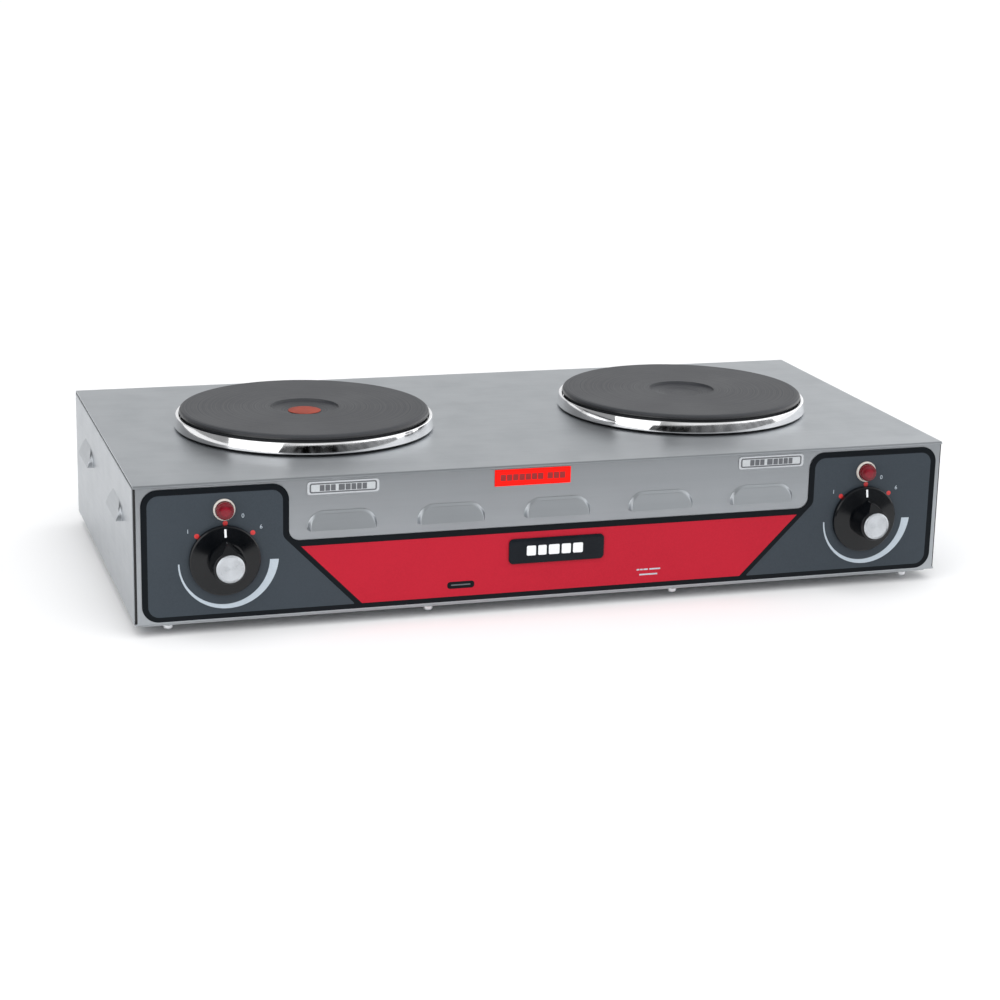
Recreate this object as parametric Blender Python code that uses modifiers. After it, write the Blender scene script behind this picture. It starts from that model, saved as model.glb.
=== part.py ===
"""Two-burner electric hot plate: folded stainless cabinet, two solid cast-iron plates,
two rotary heat switches with knobs, two pilot lamps and the parts that hold them.

Metres, +Z up. The cabinet's front faces -Y. The origin is on the floor, at the middle
of the overall footprint.
"""
from math import acos, cos, pi, radians, sin, tan

import bmesh
import bpy
from mathutils import Matrix, Vector
from mathutils.geometry import interpolate_bezier

MM = 0.001
GAP = 0.3 * MM                 # clearance between pieces that touch

# Cabinet
BODY_W = 616 * MM
BODY_D = 306 * MM
BODY_H = 101 * MM
LIFT = 9 * MM                  # floor to the cabinet's bottom edge
SHEET = 1.0 * MM
BEND = 2.0 * MM                # outer radius of the folds
LEDGE = 0.6 * MM               # how far the wrap stops short of each side's outer face
RETURN = 12 * MM               # inward flange along the bottom edges
SIDE_FLANGE = 14 * MM

# What stands out in front and behind, which places the origin
KNOB_REACH = 24.5 * MM
GLAND_REACH = 12.5 * MM
MID_Y = (KNOB_REACH - GLAND_REACH) / 2
FRONT_Y = MID_Y - BODY_D / 2
BACK_Y = MID_Y + BODY_D / 2
TOP_Z = LIFT + BODY_H

# Louvres
LOUVRE_W = 51 * MM
LOUVRE_H = 14 * MM
LOUVRE_OUT = 4.5 * MM
LOUVRE_FOOT = 62.6 * MM        # height of the slot above the cabinet's bottom edge
FRONT_LOUVRES = [80 * MM * i for i in range(-2, 3)]
SIDE_LOUVRES = [-76.5 * MM, 76.5 * MM]

# Plates
PLATE_X = 153.5 * MM
HOLE_R = 88.3 * MM             # in the cabinet's top, round the plate's neck
STEPS = 36

# Controls
KNOB_X = 244.4 * MM
KNOB_Z = 45.1 * MM             # above the cabinet's bottom edge
GRIP_R = 12.6 * MM
POINTER_R = 16 * MM
PILOT_Z = 81.5 * MM
OVERLAY_T = 0.3 * MM
FACE = GAP + OVERLAY_T         # front of the overlay, out from the sheet

# Underside
FOOT_XY = [(sx * 262 * MM, MID_Y + sy * 112 * MM) for sx in (-1, 1) for sy in (-1, 1)]
FRONT_SCREWS = [94.5 * MM * i for i in (-3, -1, 1, 3)]
REAR_SCREWS = [-190 * MM, 190 * MM]
SCREW_IN = 7 * MM              # from the front or back face
GLAND_X = 228 * MM
GLAND_Z = 34 * MM

MATERIALS = {
    "stainless": ((0.46, 0.47, 0.48), 0.32, 1.0),
    "cast_iron": ((0.085, 0.087, 0.09), 0.55, 0.6),
    "chrome": ((0.75, 0.75, 0.76), 0.08, 1.0),
    "red_enamel": ((0.62, 0.06, 0.03), 0.5, 0.0),
    "overlay_film": ((0.055, 0.068, 0.085), 0.35, 0.0),
    "pale_label": ((0.66, 0.68, 0.70), 0.45, 0.0),
    "orange_label": ((0.85, 0.05, 0.025), 0.45, 0.0),
    "badge_black": ((0.012, 0.014, 0.017), 0.2, 0.0),
    "knob_black": ((0.012, 0.012, 0.014), 0.22, 0.0),
    "aluminium": ((0.80, 0.81, 0.82), 0.25, 1.0),
    "zinc_steel": ((0.58, 0.59, 0.60), 0.35, 1.0),
    "switch_moulding": ((0.05, 0.035, 0.025), 0.6, 0.0),
    "cam_nylon": ((0.72, 0.70, 0.64), 0.5, 0.0),
    "pilot_bezel": ((0.70, 0.66, 0.62), 0.35, 0.0),
    "pilot_lens": ((0.50, 0.015, 0.035), 0.15, 0.0),
    "steatite": ((0.80, 0.76, 0.68), 0.6, 0.0),
    "foot_rubber": ((0.02, 0.02, 0.021), 0.8, 0.0),
    "gland_plastic": ((0.025, 0.026, 0.028), 0.5, 0.0),
    "brass": ((0.72, 0.52, 0.22), 0.3, 1.0),
    "lead_silicone": ((0.42, 0.02, 0.02), 0.55, 0.0),
}


# ---------------------------------------------------------------- scene and helpers

for old in list(bpy.data.objects):
    bpy.data.objects.remove(old)

parts = bpy.data.collections.new("hot_plate")
cutters = bpy.data.collections.new("cutters")
bpy.context.scene.collection.children.link(parts)
bpy.context.scene.collection.children.link(cutters)


def make_material(name):
    colour, roughness, metallic = MATERIALS[name]
    material = bpy.data.materials.new(name)
    material.use_nodes = True
    shader = material.node_tree.nodes["Principled BSDF"]
    shader.inputs["Base Color"].default_value = (*colour, 1.0)
    shader.inputs["Roughness"].default_value = roughness
    shader.inputs["Metallic"].default_value = metallic
    material.diffuse_color = (*colour, 1.0)
    return material


materials = {name: make_material(name) for name in MATERIALS}


def frame(name, location, rotation=(0, 0, 0), parent=None):
    """An empty that gives a group of pieces its own axes."""
    empty = bpy.data.objects.new(name, None)
    empty.empty_display_size = 0.02
    empty.location = location
    empty.rotation_euler = rotation
    empty.parent = parent
    parts.objects.link(empty)
    return empty


def add(name, data, material=None, location=(0, 0, 0), parent=None):
    """Put mesh or curve data in the scene: as a piece, or as a cutter if it has no material."""
    obj = bpy.data.objects.new(name, data)
    obj.location = location
    obj.parent = parent
    if material:
        data.materials.append(materials[material])
        parts.objects.link(obj)
    else:
        cutters.objects.link(obj)
        obj.hide_render = True
        obj.display_type = "WIRE"
    return obj


def mesh_from(name, bm):
    bmesh.ops.recalc_face_normals(bm, faces=bm.faces)
    mesh = bpy.data.meshes.new(name)
    bm.to_mesh(mesh)
    bm.free()
    return mesh


def put_box(bm, low, high):
    """A box between two corners; returns its vertices."""
    low, high = Vector(low), Vector(high)
    size = Matrix.Diagonal((*(high - low), 1))
    return bmesh.ops.create_cube(bm, size=1, matrix=Matrix.Translation((low + high) / 2) @ size)["verts"]


def put_rod(bm, centre, radius, bottom, top, segments=16, flat=None):
    """An upright cylinder at centre (x, y); flat is where a D-shaped one is cut off."""
    place = Matrix.Translation((*centre, (bottom + top) / 2))
    verts = bmesh.ops.create_cone(
        bm, cap_ends=True, segments=segments, radius1=radius, radius2=radius, depth=top - bottom, matrix=place
    )["verts"]
    if flat is not None:
        for vert in verts:
            vert.co.x = min(vert.co.x, centre[0] + flat)
    return verts


def boxes(name, corners, **kw):
    bm = bmesh.new()
    for low, high in corners:
        put_box(bm, low, high)
    return add(name, mesh_from(name, bm), **kw)


def rods(name, items, **kw):
    """Cylinders given as (centre, radius, bottom, top) and options for put_rod."""
    bm = bmesh.new()
    for item in items:
        options = item[4] if len(item) > 4 else {}
        put_rod(bm, *item[:4], **options)
    return add(name, mesh_from(name, bm), **kw)


def turned(name, profile, steps=STEPS, closed=False, **kw):
    """A profile of (radius, height) turned about Z; it runs down its outer side."""
    count = len(profile)
    edges = [(i, i + 1) for i in range(count - 1)]
    if closed:
        edges.append((count - 1, 0))
    mesh = bpy.data.meshes.new(name)
    mesh.from_pydata([(r * MM, 0, h * MM) for r, h in profile], edges, [])
    obj = add(name, mesh, **kw)
    screw = obj.modifiers.new("turn", "SCREW")
    screw.axis = "Z"
    screw.steps = steps
    screw.render_steps = steps
    screw.use_merge_vertices = True
    screw.merge_threshold = 0.00001
    screw.use_smooth_shade = True
    return obj


def boolean(obj, tool, operation):
    modifier = obj.modifiers.new(operation.lower() + "_" + tool.name, "BOOLEAN")
    modifier.operation = operation
    modifier.solver = "EXACT"
    modifier.object = tool


def cut(obj, tool):
    boolean(obj, tool, "DIFFERENCE")


def join(obj, tool):
    boolean(obj, tool, "UNION")


def rounded(corners, steps=5):
    """Outline through (x, y, radius) corners in millimetres, with an arc at each corner."""
    points = []
    for i, (x, y, radius) in enumerate(corners):
        here = Vector((x, y))
        before = (Vector(corners[i - 1][:2]) - here).normalized()
        after = (Vector(corners[(i + 1) % len(corners)][:2]) - here).normalized()
        half = acos(max(-1.0, min(1.0, before.dot(after)))) / 2
        centre = here + (before + after).normalized() * (radius / sin(half))
        start = here + before * (radius / tan(half)) - centre
        end = here + after * (radius / tan(half)) - centre
        arc = [start.slerp(end, k / steps).normalized() * radius for k in range(steps + 1)]
        points += [centre + spoke for spoke in arc]
    return points


def flat_piece(name, outline, bottom, thickness, material=None, location=(0, 0, 0), parent=None):
    """A filled 2D curve, extruded and turned into a welded mesh; the outline is in millimetres."""
    curve = bpy.data.curves.new(name + "_outline", "CURVE")
    curve.dimensions = "2D"
    curve.fill_mode = "BOTH"
    curve.extrude = thickness / 2
    spline = curve.splines.new("POLY")
    spline.points.add(len(outline) - 1)
    for point, (x, y) in zip(spline.points, outline):
        point.co = (x * MM, y * MM, 0, 1)
    spline.use_cyclic_u = True
    guide = bpy.data.objects.new(name + "_guide", curve)
    cutters.objects.link(guide)
    bpy.context.view_layer.update()
    evaluated = guide.evaluated_get(bpy.context.evaluated_depsgraph_get())
    mesh = bpy.data.meshes.new_from_object(evaluated)
    mesh.name = name
    bpy.data.objects.remove(guide)
    bm = bmesh.new()
    bm.from_mesh(mesh)
    bmesh.ops.remove_doubles(bm, verts=bm.verts, dist=0.000001)
    bmesh.ops.translate(bm, verts=bm.verts, vec=(0, 0, bottom + thickness / 2))
    bmesh.ops.recalc_face_normals(bm, faces=bm.faces)
    bm.to_mesh(mesh)
    bm.free()
    mesh.materials.clear()
    return add(name, mesh, material=material, location=location, parent=parent)


def rectangle(width, height, radius, centre=(0, 0), steps=4):
    """Rounded rectangle in millimetres."""
    x, y = centre
    sides = [(-1, -1), (1, -1), (1, 1), (-1, 1)]
    return rounded([(x + sx * width / 2, y + sy * height / 2, radius) for sx, sy in sides], steps)


# ------------------------------------------------------------------------- louvres

def put_louvre(bm, x, width, foot, height, out, back):
    """One hood on a face frame: open downwards, fading into the sheet at its top."""
    verts = put_box(bm, (x - width / 2, foot, back), (x + width / 2, foot + height, out))
    for vert in verts:
        if vert.co.z > 0:
            vert.co.x -= 3.2 * MM if vert.co.x > x else -3.2 * MM
            if vert.co.y > foot + height / 2:
                vert.co.y -= 5.0 * MM
    edges = {edge for vert in verts for edge in vert.link_edges}
    shoulders = [
        edge for edge in edges
        if all(v.co.y > foot + height / 2 for v in edge.verts) and len({v.co.z > 0 for v in edge.verts}) == 2
    ]
    bmesh.ops.bevel(bm, geom=shoulders, offset=7 * MM, segments=3, affect="EDGES", profile=0.5)
    rim = [
        edge for edge in bm.edges
        if all(v.co.z > out - 1e-6 and abs(v.co.x - x) < width for v in edge.verts)
        and any(v.co.y > foot + 1e-6 for v in edge.verts)
    ]
    bmesh.ops.bevel(bm, geom=rim, offset=1.4 * MM, segments=2, affect="EDGES", profile=0.5)


def louvres(name, places, parent, hollow):
    """The hoods' outsides, or the spaces inside them."""
    bm = bmesh.new()
    for x in places:
        if hollow:
            put_louvre(
                bm, x, LOUVRE_W - 2 * SHEET, LOUVRE_FOOT - 0.4 * MM, LOUVRE_H - SHEET + 0.4 * MM,
                LOUVRE_OUT - SHEET, -3 * MM,
            )
        else:
            put_louvre(bm, x, LOUVRE_W, LOUVRE_FOOT, LOUVRE_H, LOUVRE_OUT, -0.5 * MM)
    return add(name, mesh_from(name, bm), parent=parent)


# ------------------------------------------------------------------------- cabinet

# Face frames: x along the face, y up from the cabinet's bottom edge, z outwards.
front = frame("front_face", (0, FRONT_Y, LIFT), (pi / 2, 0, 0))
back = frame("back_face", (0, BACK_Y, LIFT), (pi / 2, 0, pi))
left_face = frame("left_face", (-BODY_W / 2, MID_Y, LIFT), (pi / 2, 0, -pi / 2))
right_face = frame("right_face", (BODY_W / 2, MID_Y, LIFT), (pi / 2, 0, pi / 2))
underside = frame("underside", (0, 0, LIFT))
top = frame("top_face", (0, MID_Y, TOP_Z))


def is_on(edge, axis, value):
    return all(abs(v.co[axis] - value) < 1e-6 for v in edge.verts)


def solidify(obj, thickness):
    modifier = obj.modifiers.new("sheet", "SOLIDIFY")
    modifier.thickness = thickness
    modifier.offset = -1
    modifier.use_even_offset = True


def make_wrap():
    """One sheet folded into front, top and back, with a flange turned in along each bottom edge."""
    half = BODY_W / 2 - LEDGE
    bm = bmesh.new()
    put_box(bm, (-half, FRONT_Y, LIFT), (half, BACK_Y, TOP_Z))
    bmesh.ops.delete(
        bm, context="FACES_ONLY", geom=[f for f in bm.faces if abs(f.normal.x) > 0.5 or f.normal.z < -0.5]
    )
    for y, inward in ((FRONT_Y, RETURN), (BACK_Y, -RETURN)):
        hem = [e for e in bm.edges if is_on(e, 1, y) and is_on(e, 2, LIFT)]
        made = bmesh.ops.extrude_edge_only(bm, edges=hem)["geom"]
        moved = [g for g in made if isinstance(g, bmesh.types.BMVert)]
        bmesh.ops.translate(bm, verts=moved, vec=(0, inward, 0))
    folds = [e for e in bm.edges if len(e.link_faces) == 2]
    bmesh.ops.bevel(bm, geom=folds, offset=BEND, segments=3, affect="EDGES", profile=0.5)
    wrap = add("housing_wrap", mesh_from("housing_wrap", bm), "stainless")
    solidify(wrap, SHEET)
    return wrap


def make_side(name, face):
    """A side panel as a shallow tray: its four flanges point into the cabinet."""
    half = BODY_D / 2 - SHEET - GAP
    bm = bmesh.new()
    put_box(bm, (-half, SHEET + GAP, -SIDE_FLANGE), (half, BODY_H - SHEET - GAP, 0))
    bmesh.ops.delete(bm, context="FACES_ONLY", geom=[f for f in bm.faces if f.normal.z < -0.5])
    folds = [e for e in bm.edges if len(e.link_faces) == 2]
    bmesh.ops.bevel(bm, geom=folds, offset=BEND, segments=3, affect="EDGES", profile=0.5)
    side = add(name, mesh_from(name, bm), "stainless", parent=face)
    solidify(side, SHEET)
    join(side, louvres(name + "_hoods", SIDE_LOUVRES, face, hollow=False))
    cut(side, louvres(name + "_vents", SIDE_LOUVRES, face, hollow=True))
    return side


wrap = make_wrap()
join(wrap, louvres("front_hoods", FRONT_LOUVRES, front, hollow=False))
cut(wrap, louvres("front_vents", FRONT_LOUVRES, front, hollow=True))
cut(wrap, rods(
    "plate_holes",
    [((s * PLATE_X, 0), HOLE_R, -6 * MM, 6 * MM, {"segments": STEPS}) for s in (-1, 1)],
    parent=top,
))
front_holes = [((s * KNOB_X, KNOB_Z), 5.3 * MM, -4 * MM, 4 * MM) for s in (-1, 1)]
front_holes += [((s * KNOB_X, PILOT_Z), 6.6 * MM, -4 * MM, 4 * MM) for s in (-1, 1)]
front_bores = rods("front_bores", front_holes, parent=front)
cut(wrap, front_bores)
cut(wrap, rods("gland_bore", [((-GLAND_X, GLAND_Z), 8.4 * MM, -4 * MM, 4 * MM)], parent=back))

make_side("left_side_panel", left_face)
make_side("right_side_panel", right_face)

screw_places = [(x, FRONT_Y + SCREW_IN) for x in FRONT_SCREWS]
screw_places += [(x, BACK_Y - SCREW_IN) for x in REAR_SCREWS]
screw_bores = rods(
    "screw_bores", [(p, 2.1 * MM, -5 * MM, 5 * MM, {"segments": 8}) for p in screw_places], parent=underside
)
cut(wrap, screw_bores)

# Bottom pan: a flat sheet under the flanges, with two banks of air slots
pan = flat_piece(
    "bottom_pan", rectangle(606, 299, 4, (0, MID_Y / MM)), -GAP - SHEET, SHEET, "stainless", parent=underside
)
cut(pan, screw_bores)
slots = [
    ((s * PLATE_X - 35 * MM, MID_Y + 14 * MM * i - 2.5 * MM, -4 * MM),
     (s * PLATE_X + 35 * MM, MID_Y + 14 * MM * i + 2.5 * MM, 2 * MM))
    for s in (-1, 1) for i in range(-3, 4)
]
cut(pan, boxes("pan_slots", slots, parent=underside))
GROUND = (150 * MM, BACK_Y - 62 * MM)
foot_bores = [(p, 2.3 * MM, -5 * MM, 5 * MM, {"segments": 8}) for p in FOOT_XY]
foot_bores.append((GROUND, 2.3 * MM, -5 * MM, 5 * MM, {"segments": 8}))
cut(pan, rods("foot_bores", foot_bores, parent=underside))


# ------------------------------------------------------------- fasteners and feet

def screw_profile(head_r, head_h, shank_r, length, head_from=0.0):
    """A pan-head screw, head down; head_from is the height of the head's bearing face."""
    low = head_from - head_h
    return [
        (0, head_from + length), (shank_r, head_from + length), (shank_r, head_from),
        (head_r, head_from), (head_r, low + 0.9), (head_r - 0.9, low), (0, low),
    ]


def foot(name, place):
    return turned(
        name,
        [(2.4, -1.6), (10.8, -1.6), (9.2, -9), (5.2, -9), (5.2, -5), (2.4, -5)],
        steps=12, closed=True, material="foot_rubber", location=(*place, 0), parent=underside,
    )


for corner, place in zip(("left_front", "left_rear", "right_front", "right_rear"), FOOT_XY):
    foot(corner + "_foot", place)
    turned(
        corner + "_foot_screw", screw_profile(4.2, 2.4, 2.0, 12, -5.3), steps=12,
        material="zinc_steel", location=(*place, 0), parent=underside,
    )

names = ["front_pan_screw_%d" % (i + 1) for i in range(4)] + ["rear_pan_screw_%d" % (i + 1) for i in range(2)]
for name, place in zip(names, screw_places):
    turned(
        name, screw_profile(3.6, 3.6, 1.8, 9, -1.6), steps=12,
        material="zinc_steel", location=(*place, 0), parent=underside,
    )


def hex_nut(name, across_flats, bore, low, high, parent, material="zinc_steel"):
    corner_r = across_flats / 2 / cos(radians(30))
    hexagon = [((0, 0), corner_r, low, high, {"segments": 6})]
    nut = rods(name, hexagon, material=material, parent=parent)
    cut(nut, rods(name + "_thread", [((0, 0), bore, low - MM, high + MM)], parent=parent))


# --------------------------------------------------------------------------- plates

PLATE_PROFILE = [
    (0, 11.2), (25.6, 11.2), (26.2, 14.7), (92.4, 14.7), (94.0, 14.1), (94.9, 12.6), (94.9, 4.0), (93.6, 1.4),
    (87, 1.4), (87, -8), (80, -8), (80, 4), (14, 4), (14, -14), (3.3, -14), (3.3, -2), (0, -2),
]
RING_PROFILE = [
    (95.9, 10.0), (96.9, 10.0), (97.5, 9.3), (98.6, 2.8), (98.2, 1.8), (95.8, 0.9), (93.8, 0.3), (89.2, 0.3),
    (89.2, 1.1), (94.2, 1.1), (96.4, 1.9), (97.4, 2.9), (96.4, 8.7), (95.4, 9.5),
]
BAR_DROP = 30 * MM             # the clamp bar's web, below the cabinet's top
BAR_T = 1.5 * MM


def clamp_bar(name, parent):
    """A hat-shaped strap whose ends bear on the underside of the cabinet's top."""
    high = -SHEET - GAP
    path = [(-104, high), (-92, high), (-92, -BAR_DROP), (92, -BAR_DROP), (92, high), (104, high)]
    bm = bmesh.new()
    row = [bm.verts.new((x * MM, -11 * MM, z)) for x, z in path]
    strip = [bm.edges.new(pair) for pair in zip(row, row[1:])]
    made = bmesh.ops.extrude_edge_only(bm, edges=strip)["geom"]
    bmesh.ops.translate(bm, verts=[g for g in made if isinstance(g, bmesh.types.BMVert)], vec=(0, 22 * MM, 0))
    bar = add(name, mesh_from(name, bm), "zinc_steel", parent=parent)
    solidify(bar, BAR_T)
    cut(bar, rods(name + "_bore", [((0, 0), 3.3 * MM, -40 * MM, -20 * MM)], parent=parent))


def make_burner(side, x):
    seat = frame(side + "_plate_seat", (x, 0, 0), parent=top)
    turned(side + "_plate", PLATE_PROFILE, material="cast_iron", parent=seat)
    turned(side + "_spill_ring", RING_PROFILE, closed=True, material="chrome", parent=seat)
    turned(
        side + "_plate_stud", [(0, -2.3), (3, -2.3), (3, -43), (0, -43)], steps=16,
        material="zinc_steel", parent=seat,
    )
    clamp_bar(side + "_clamp_bar", seat)
    hex_nut(side + "_clamp_nut", 10 * MM, 3.3 * MM, -36.8 * MM, -BAR_DROP - BAR_T - GAP, seat)
    block = boxes(
        side + "_terminal_ceramic", [((-17 * MM, 40 * MM, -24 * MM), (17 * MM, 60 * MM, 3.7 * MM))],
        material="steatite", parent=seat,
    )
    wells = [((10 * MM * i, 50 * MM), 2.2 * MM, -30 * MM, -14 * MM) for i in (-1, 0, 1)]
    cut(block, rods(side + "_pin_wells", wells, parent=seat))
    return seat


left_seat = make_burner("left", -PLATE_X)
right_seat = make_burner("right", PLATE_X)
turned(
    "left_plate_marker", [(0, 11.8), (12.2, 11.8), (12.5, 11.5), (0, 11.5)],
    material="red_enamel", parent=left_seat,
)


# ------------------------------------------------------------------------- controls

OVERLAY = [
    (-302.5, 2.3, 12), (302.5, 2.3, 12), (302.5, 97.9, 12), (198.3, 97.9, 12), (198.3, 55.6, 8),
    (-198.3, 55.6, 8), (-198.3, 97.9, 12), (-302.5, 97.9, 12),
]
overlay = flat_piece("control_overlay", rounded(OVERLAY), GAP, OVERLAY_T, "overlay_film", parent=front)
overlay_holes = [((s * KNOB_X, KNOB_Z), 6.2 * MM, -4 * MM, 4 * MM) for s in (-1, 1)]
overlay_holes += [((s * KNOB_X, PILOT_Z), 6.9 * MM, -4 * MM, 4 * MM) for s in (-1, 1)]
cut(overlay, rods("overlay_bores", overlay_holes, parent=front))

LABELS = [
    ("left_rating_label", rectangle(52, 9.4, 2, (-159.4, 92.9)), "pale_label"),
    ("right_rating_label", rectangle(52, 9.4, 2, (166.7, 93.3)), "pale_label"),
    ("hot_surface_label", rectangle(57.4, 12.2, 0.5, (-19.3, 92.5), steps=2), "orange_label"),
]
for name, outline, material in LABELS:
    flat_piece(name, outline, GAP, OVERLAY_T, material, parent=front)
badge_outline = rectangle(72.8, 18.8, 3.4, (0, 37.0))
badge = flat_piece("blank_badge", badge_outline, FACE + GAP, 1.1 * MM, "badge_black", parent=front)
soften = badge.modifiers.new("edge", "BEVEL")
soften.width = 0.4 * MM
soften.segments = 2
soften.limit_method = "ANGLE"
soften.angle_limit = radians(60)

SKIRT_PROFILE = [
    (0, 6.8), (14, 6.8), (24.4, 4.8), (25.2, 4.0), (25.2, 1.0), (23.8, 1.0), (23.2, 3.4), (11, 4.0), (0, 4.0),
]


def teardrop(angle):
    """Radius of the grip's outline: a circle with a pointer drawn out towards +Y."""
    spread = acos(GRIP_R / POINTER_R)
    away = abs((angle - pi / 2 + pi) % (2 * pi) - pi)
    if away >= spread:
        return GRIP_R
    return GRIP_R / cos(spread - away)


def grip_tool(name, parent):
    """The knob's grip: the teardrop, drawn in slightly towards its top and sloped off at its pointer."""
    bm = bmesh.new()
    verts = put_rod(bm, (0, 0), 1.0, 4.8 * MM, 23.2 * MM, segments=28)
    for vert in verts:
        direction = Vector((vert.co.x, vert.co.y)).normalized()
        angle = Vector((1, 0)).angle_signed(direction) * -1
        radius = teardrop(angle) * (0.93 if vert.co.z > 10 * MM else 1.0)
        vert.co.x, vert.co.y = direction * radius
    crown = [e for e in bm.edges if all(v.co.z > 10 * MM for v in e.verts)]
    bmesh.ops.bevel(bm, geom=crown, offset=0.8 * MM, segments=2, affect="EDGES", profile=0.5)
    sliced = bmesh.ops.bisect_plane(
        bm, geom=bm.verts[:] + bm.edges[:] + bm.faces[:], dist=1e-7,
        plane_co=(0, 9.8 * MM, 23.6 * MM), plane_no=(0, 13.7, 7.4), clear_outer=True,
    )["geom_cut"]
    bmesh.ops.contextual_create(bm, geom=[g for g in sliced if isinstance(g, bmesh.types.BMEdge)])
    return add(name, mesh_from(name, bm), parent=parent)


def make_control(side, x):
    fixed = frame(side + "_switch_seat", (x, KNOB_Z, 0), parent=front)
    turning = frame(side + "_knob_axis", (x, KNOB_Z, 0), parent=front)

    knob = turned(side + "_knob", SKIRT_PROFILE, steps=28, material="knob_black", parent=turning)
    join(knob, grip_tool(side + "_grip", turning))
    cut(knob, rods(
        side + "_knob_bore",
        [((0, 0), 3.3 * MM, 2 * MM, 18.3 * MM, {"flat": 2.5 * MM}), ((0, 0), 2.8 * MM, 21 * MM, 26 * MM)],
        parent=turning,
    ))
    turned(
        side + "_knob_cap",
        [(0, 24.5), (9.5, 24.5), (10.0, 24.0), (10.0, 23.5), (2.5, 23.5), (2.5, 21.3), (0, 21.3)],
        steps=24, material="aluminium", parent=turning,
    )
    rods(
        side + "_switch_shaft", [((0, 0), 3 * MM, -16 * MM, 18 * MM, {"flat": 2.2 * MM})],
        material="zinc_steel", parent=turning,
    )
    cam = turned(
        side + "_switch_cam",
        [(3.4, -5), (11.5, -5), (11.5, -13), (3.4, -13)], steps=24, closed=True,
        material="cam_nylon", parent=turning,
    )
    cut(cam, boxes(side + "_cam_notch", [((-14 * MM, 8.5 * MM, -14 * MM), (14 * MM, 14 * MM, -4 * MM))],
                   parent=turning))

    body = boxes(
        side + "_switch_body", [((-19 * MM, -19 * MM, -29 * MM), (19 * MM, 19 * MM, -SHEET - GAP))],
        material="switch_moulding", parent=fixed,
    )
    join(body, rods(side + "_bush", [((0, 0), 5 * MM, -4 * MM, 3.7 * MM)], parent=fixed))
    corners = [(9 * MM * i, 9 * MM * j) for i in (-1, 1) for j in (-1, 1)]
    blades = [
        ((x - 0.4 * MM, y - 3.1 * MM, -37 * MM), (x + 0.4 * MM, y + 3.1 * MM, -28 * MM)) for x, y in corners
    ]
    join(body, boxes(side + "_blades", blades, parent=fixed))
    cut(body, rods(
        side + "_shaft_bore",
        [((0, 0), 3.4 * MM, -16.5 * MM, 6 * MM)], parent=fixed,
    ))
    cut(body, rods(
        side + "_cam_space", [((0, 0), 13 * MM, -13.5 * MM, -4.5 * MM, {"segments": 24})], parent=fixed,
    ))
    hex_nut(side + "_switch_nut", 14 * MM, 5.3 * MM, FACE + GAP, 3.3 * MM, fixed)


def make_pilot(side, x):
    seat = frame(side + "_pilot_seat", (x, PILOT_Z, 0), parent=front)
    turned(
        side + "_pilot_body",
        [(0, -2), (5.2, -2), (5.2, 1.5), (6.5, 1.5), (6.5, 2.6), (7.4, 2.6), (7.8, 2.2), (7.8, 0.9),
         (6.3, 0.9), (6.3, -24), (0, -24)],
        steps=20, material="pilot_bezel", parent=seat,
    )
    turned(
        side + "_pilot_lens", [(0, 7.6), (3.0, 7.5), (5.4, 7.1), (6.2, 6.1), (6.2, 1.8), (0, 1.8)],
        steps=20, material="pilot_lens", parent=seat,
    )
    turned(
        side + "_pilot_clip", [(6.6, -1.3), (10.0, -1.3), (10.0, -2.0), (6.6, -2.4)],
        steps=16, closed=True, material="zinc_steel", parent=seat,
    )


for side, sign in (("left", -1), ("right", 1)):
    make_control(side, sign * KNOB_X)
    make_pilot(side, sign * KNOB_X)


# ---------------------------------------------------------------------- power inlet

inlet = frame("inlet", (-GLAND_X, GLAND_Z, 0), parent=back)
turned(
    "cord_gland",
    [(4.4, 12.5), (7.6, 12.5), (8.6, 11.5), (9.6, 6.5), (11.5, 5.8), (11.5, 0.3), (8.1, 0.3), (8.1, -9),
     (4.4, -9)],
    steps=20, closed=True, material="gland_plastic", parent=inlet,
)
hex_nut("gland_locknut", 22 * MM, 8.4 * MM, -6.3 * MM, -SHEET - GAP, inlet)

block = boxes(
    "supply_terminal_block",
    [((184 * MM, BACK_Y - 74 * MM, 0), (240 * MM, BACK_Y - 50 * MM, 20 * MM))],
    material="gland_plastic", parent=underside,
)
wells = [((198 * MM + 14 * MM * i, BACK_Y - 62 * MM), 3.2 * MM, 8 * MM, 26 * MM) for i in range(3)]
cut(block, rods("terminal_wells", wells, parent=underside))
turned(
    "ground_screw",
    [(0, 3.2), (3.1, 3.2), (4.0, 2.3), (4.0, 0), (2.0, 0), (2.0, -3.4), (0, -3.4)], steps=12,
    material="brass", location=(*GROUND, 0), parent=underside,
)


# ------------------------------------------------------------------- plate leads

def make_lead(side, sign):
    """The insulated lead from a switch's upper blade to its plate's ceramic terminal."""
    start = Vector((sign * (KNOB_X - 9 * MM), FRONT_Y + 38.8 * MM, LIFT + KNOB_Z + 9 * MM))
    end = Vector((sign * (PLATE_X + 10 * MM), MID_Y + 50 * MM, TOP_Z - 22 * MM))
    path = interpolate_bezier(
        start, start + Vector((0, 55 * MM, -18 * MM)), end - Vector((0, 0, 66 * MM)), end, 14
    )
    curve = bpy.data.curves.new(side + "_switch_lead", "CURVE")
    curve.dimensions = "3D"
    curve.bevel_depth = 1.3 * MM
    curve.bevel_resolution = 1
    curve.use_fill_caps = True
    spline = curve.splines.new("POLY")
    spline.points.add(len(path) - 1)
    for point, place in zip(spline.points, path):
        point.co = (*place, 1)
    lead = add(side + "_switch_lead", curve, "lead_silicone")
    weld = lead.modifiers.new("weld_caps", "WELD")
    weld.merge_threshold = 0.00001


for side, sign in (("left", -1), ("right", 1)):
    make_lead(side, sign)
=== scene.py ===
"""Looks for the two-burner electric hot plate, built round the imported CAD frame."""
from math import acos, cos, hypot, pi, radians, sin, tan

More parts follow.
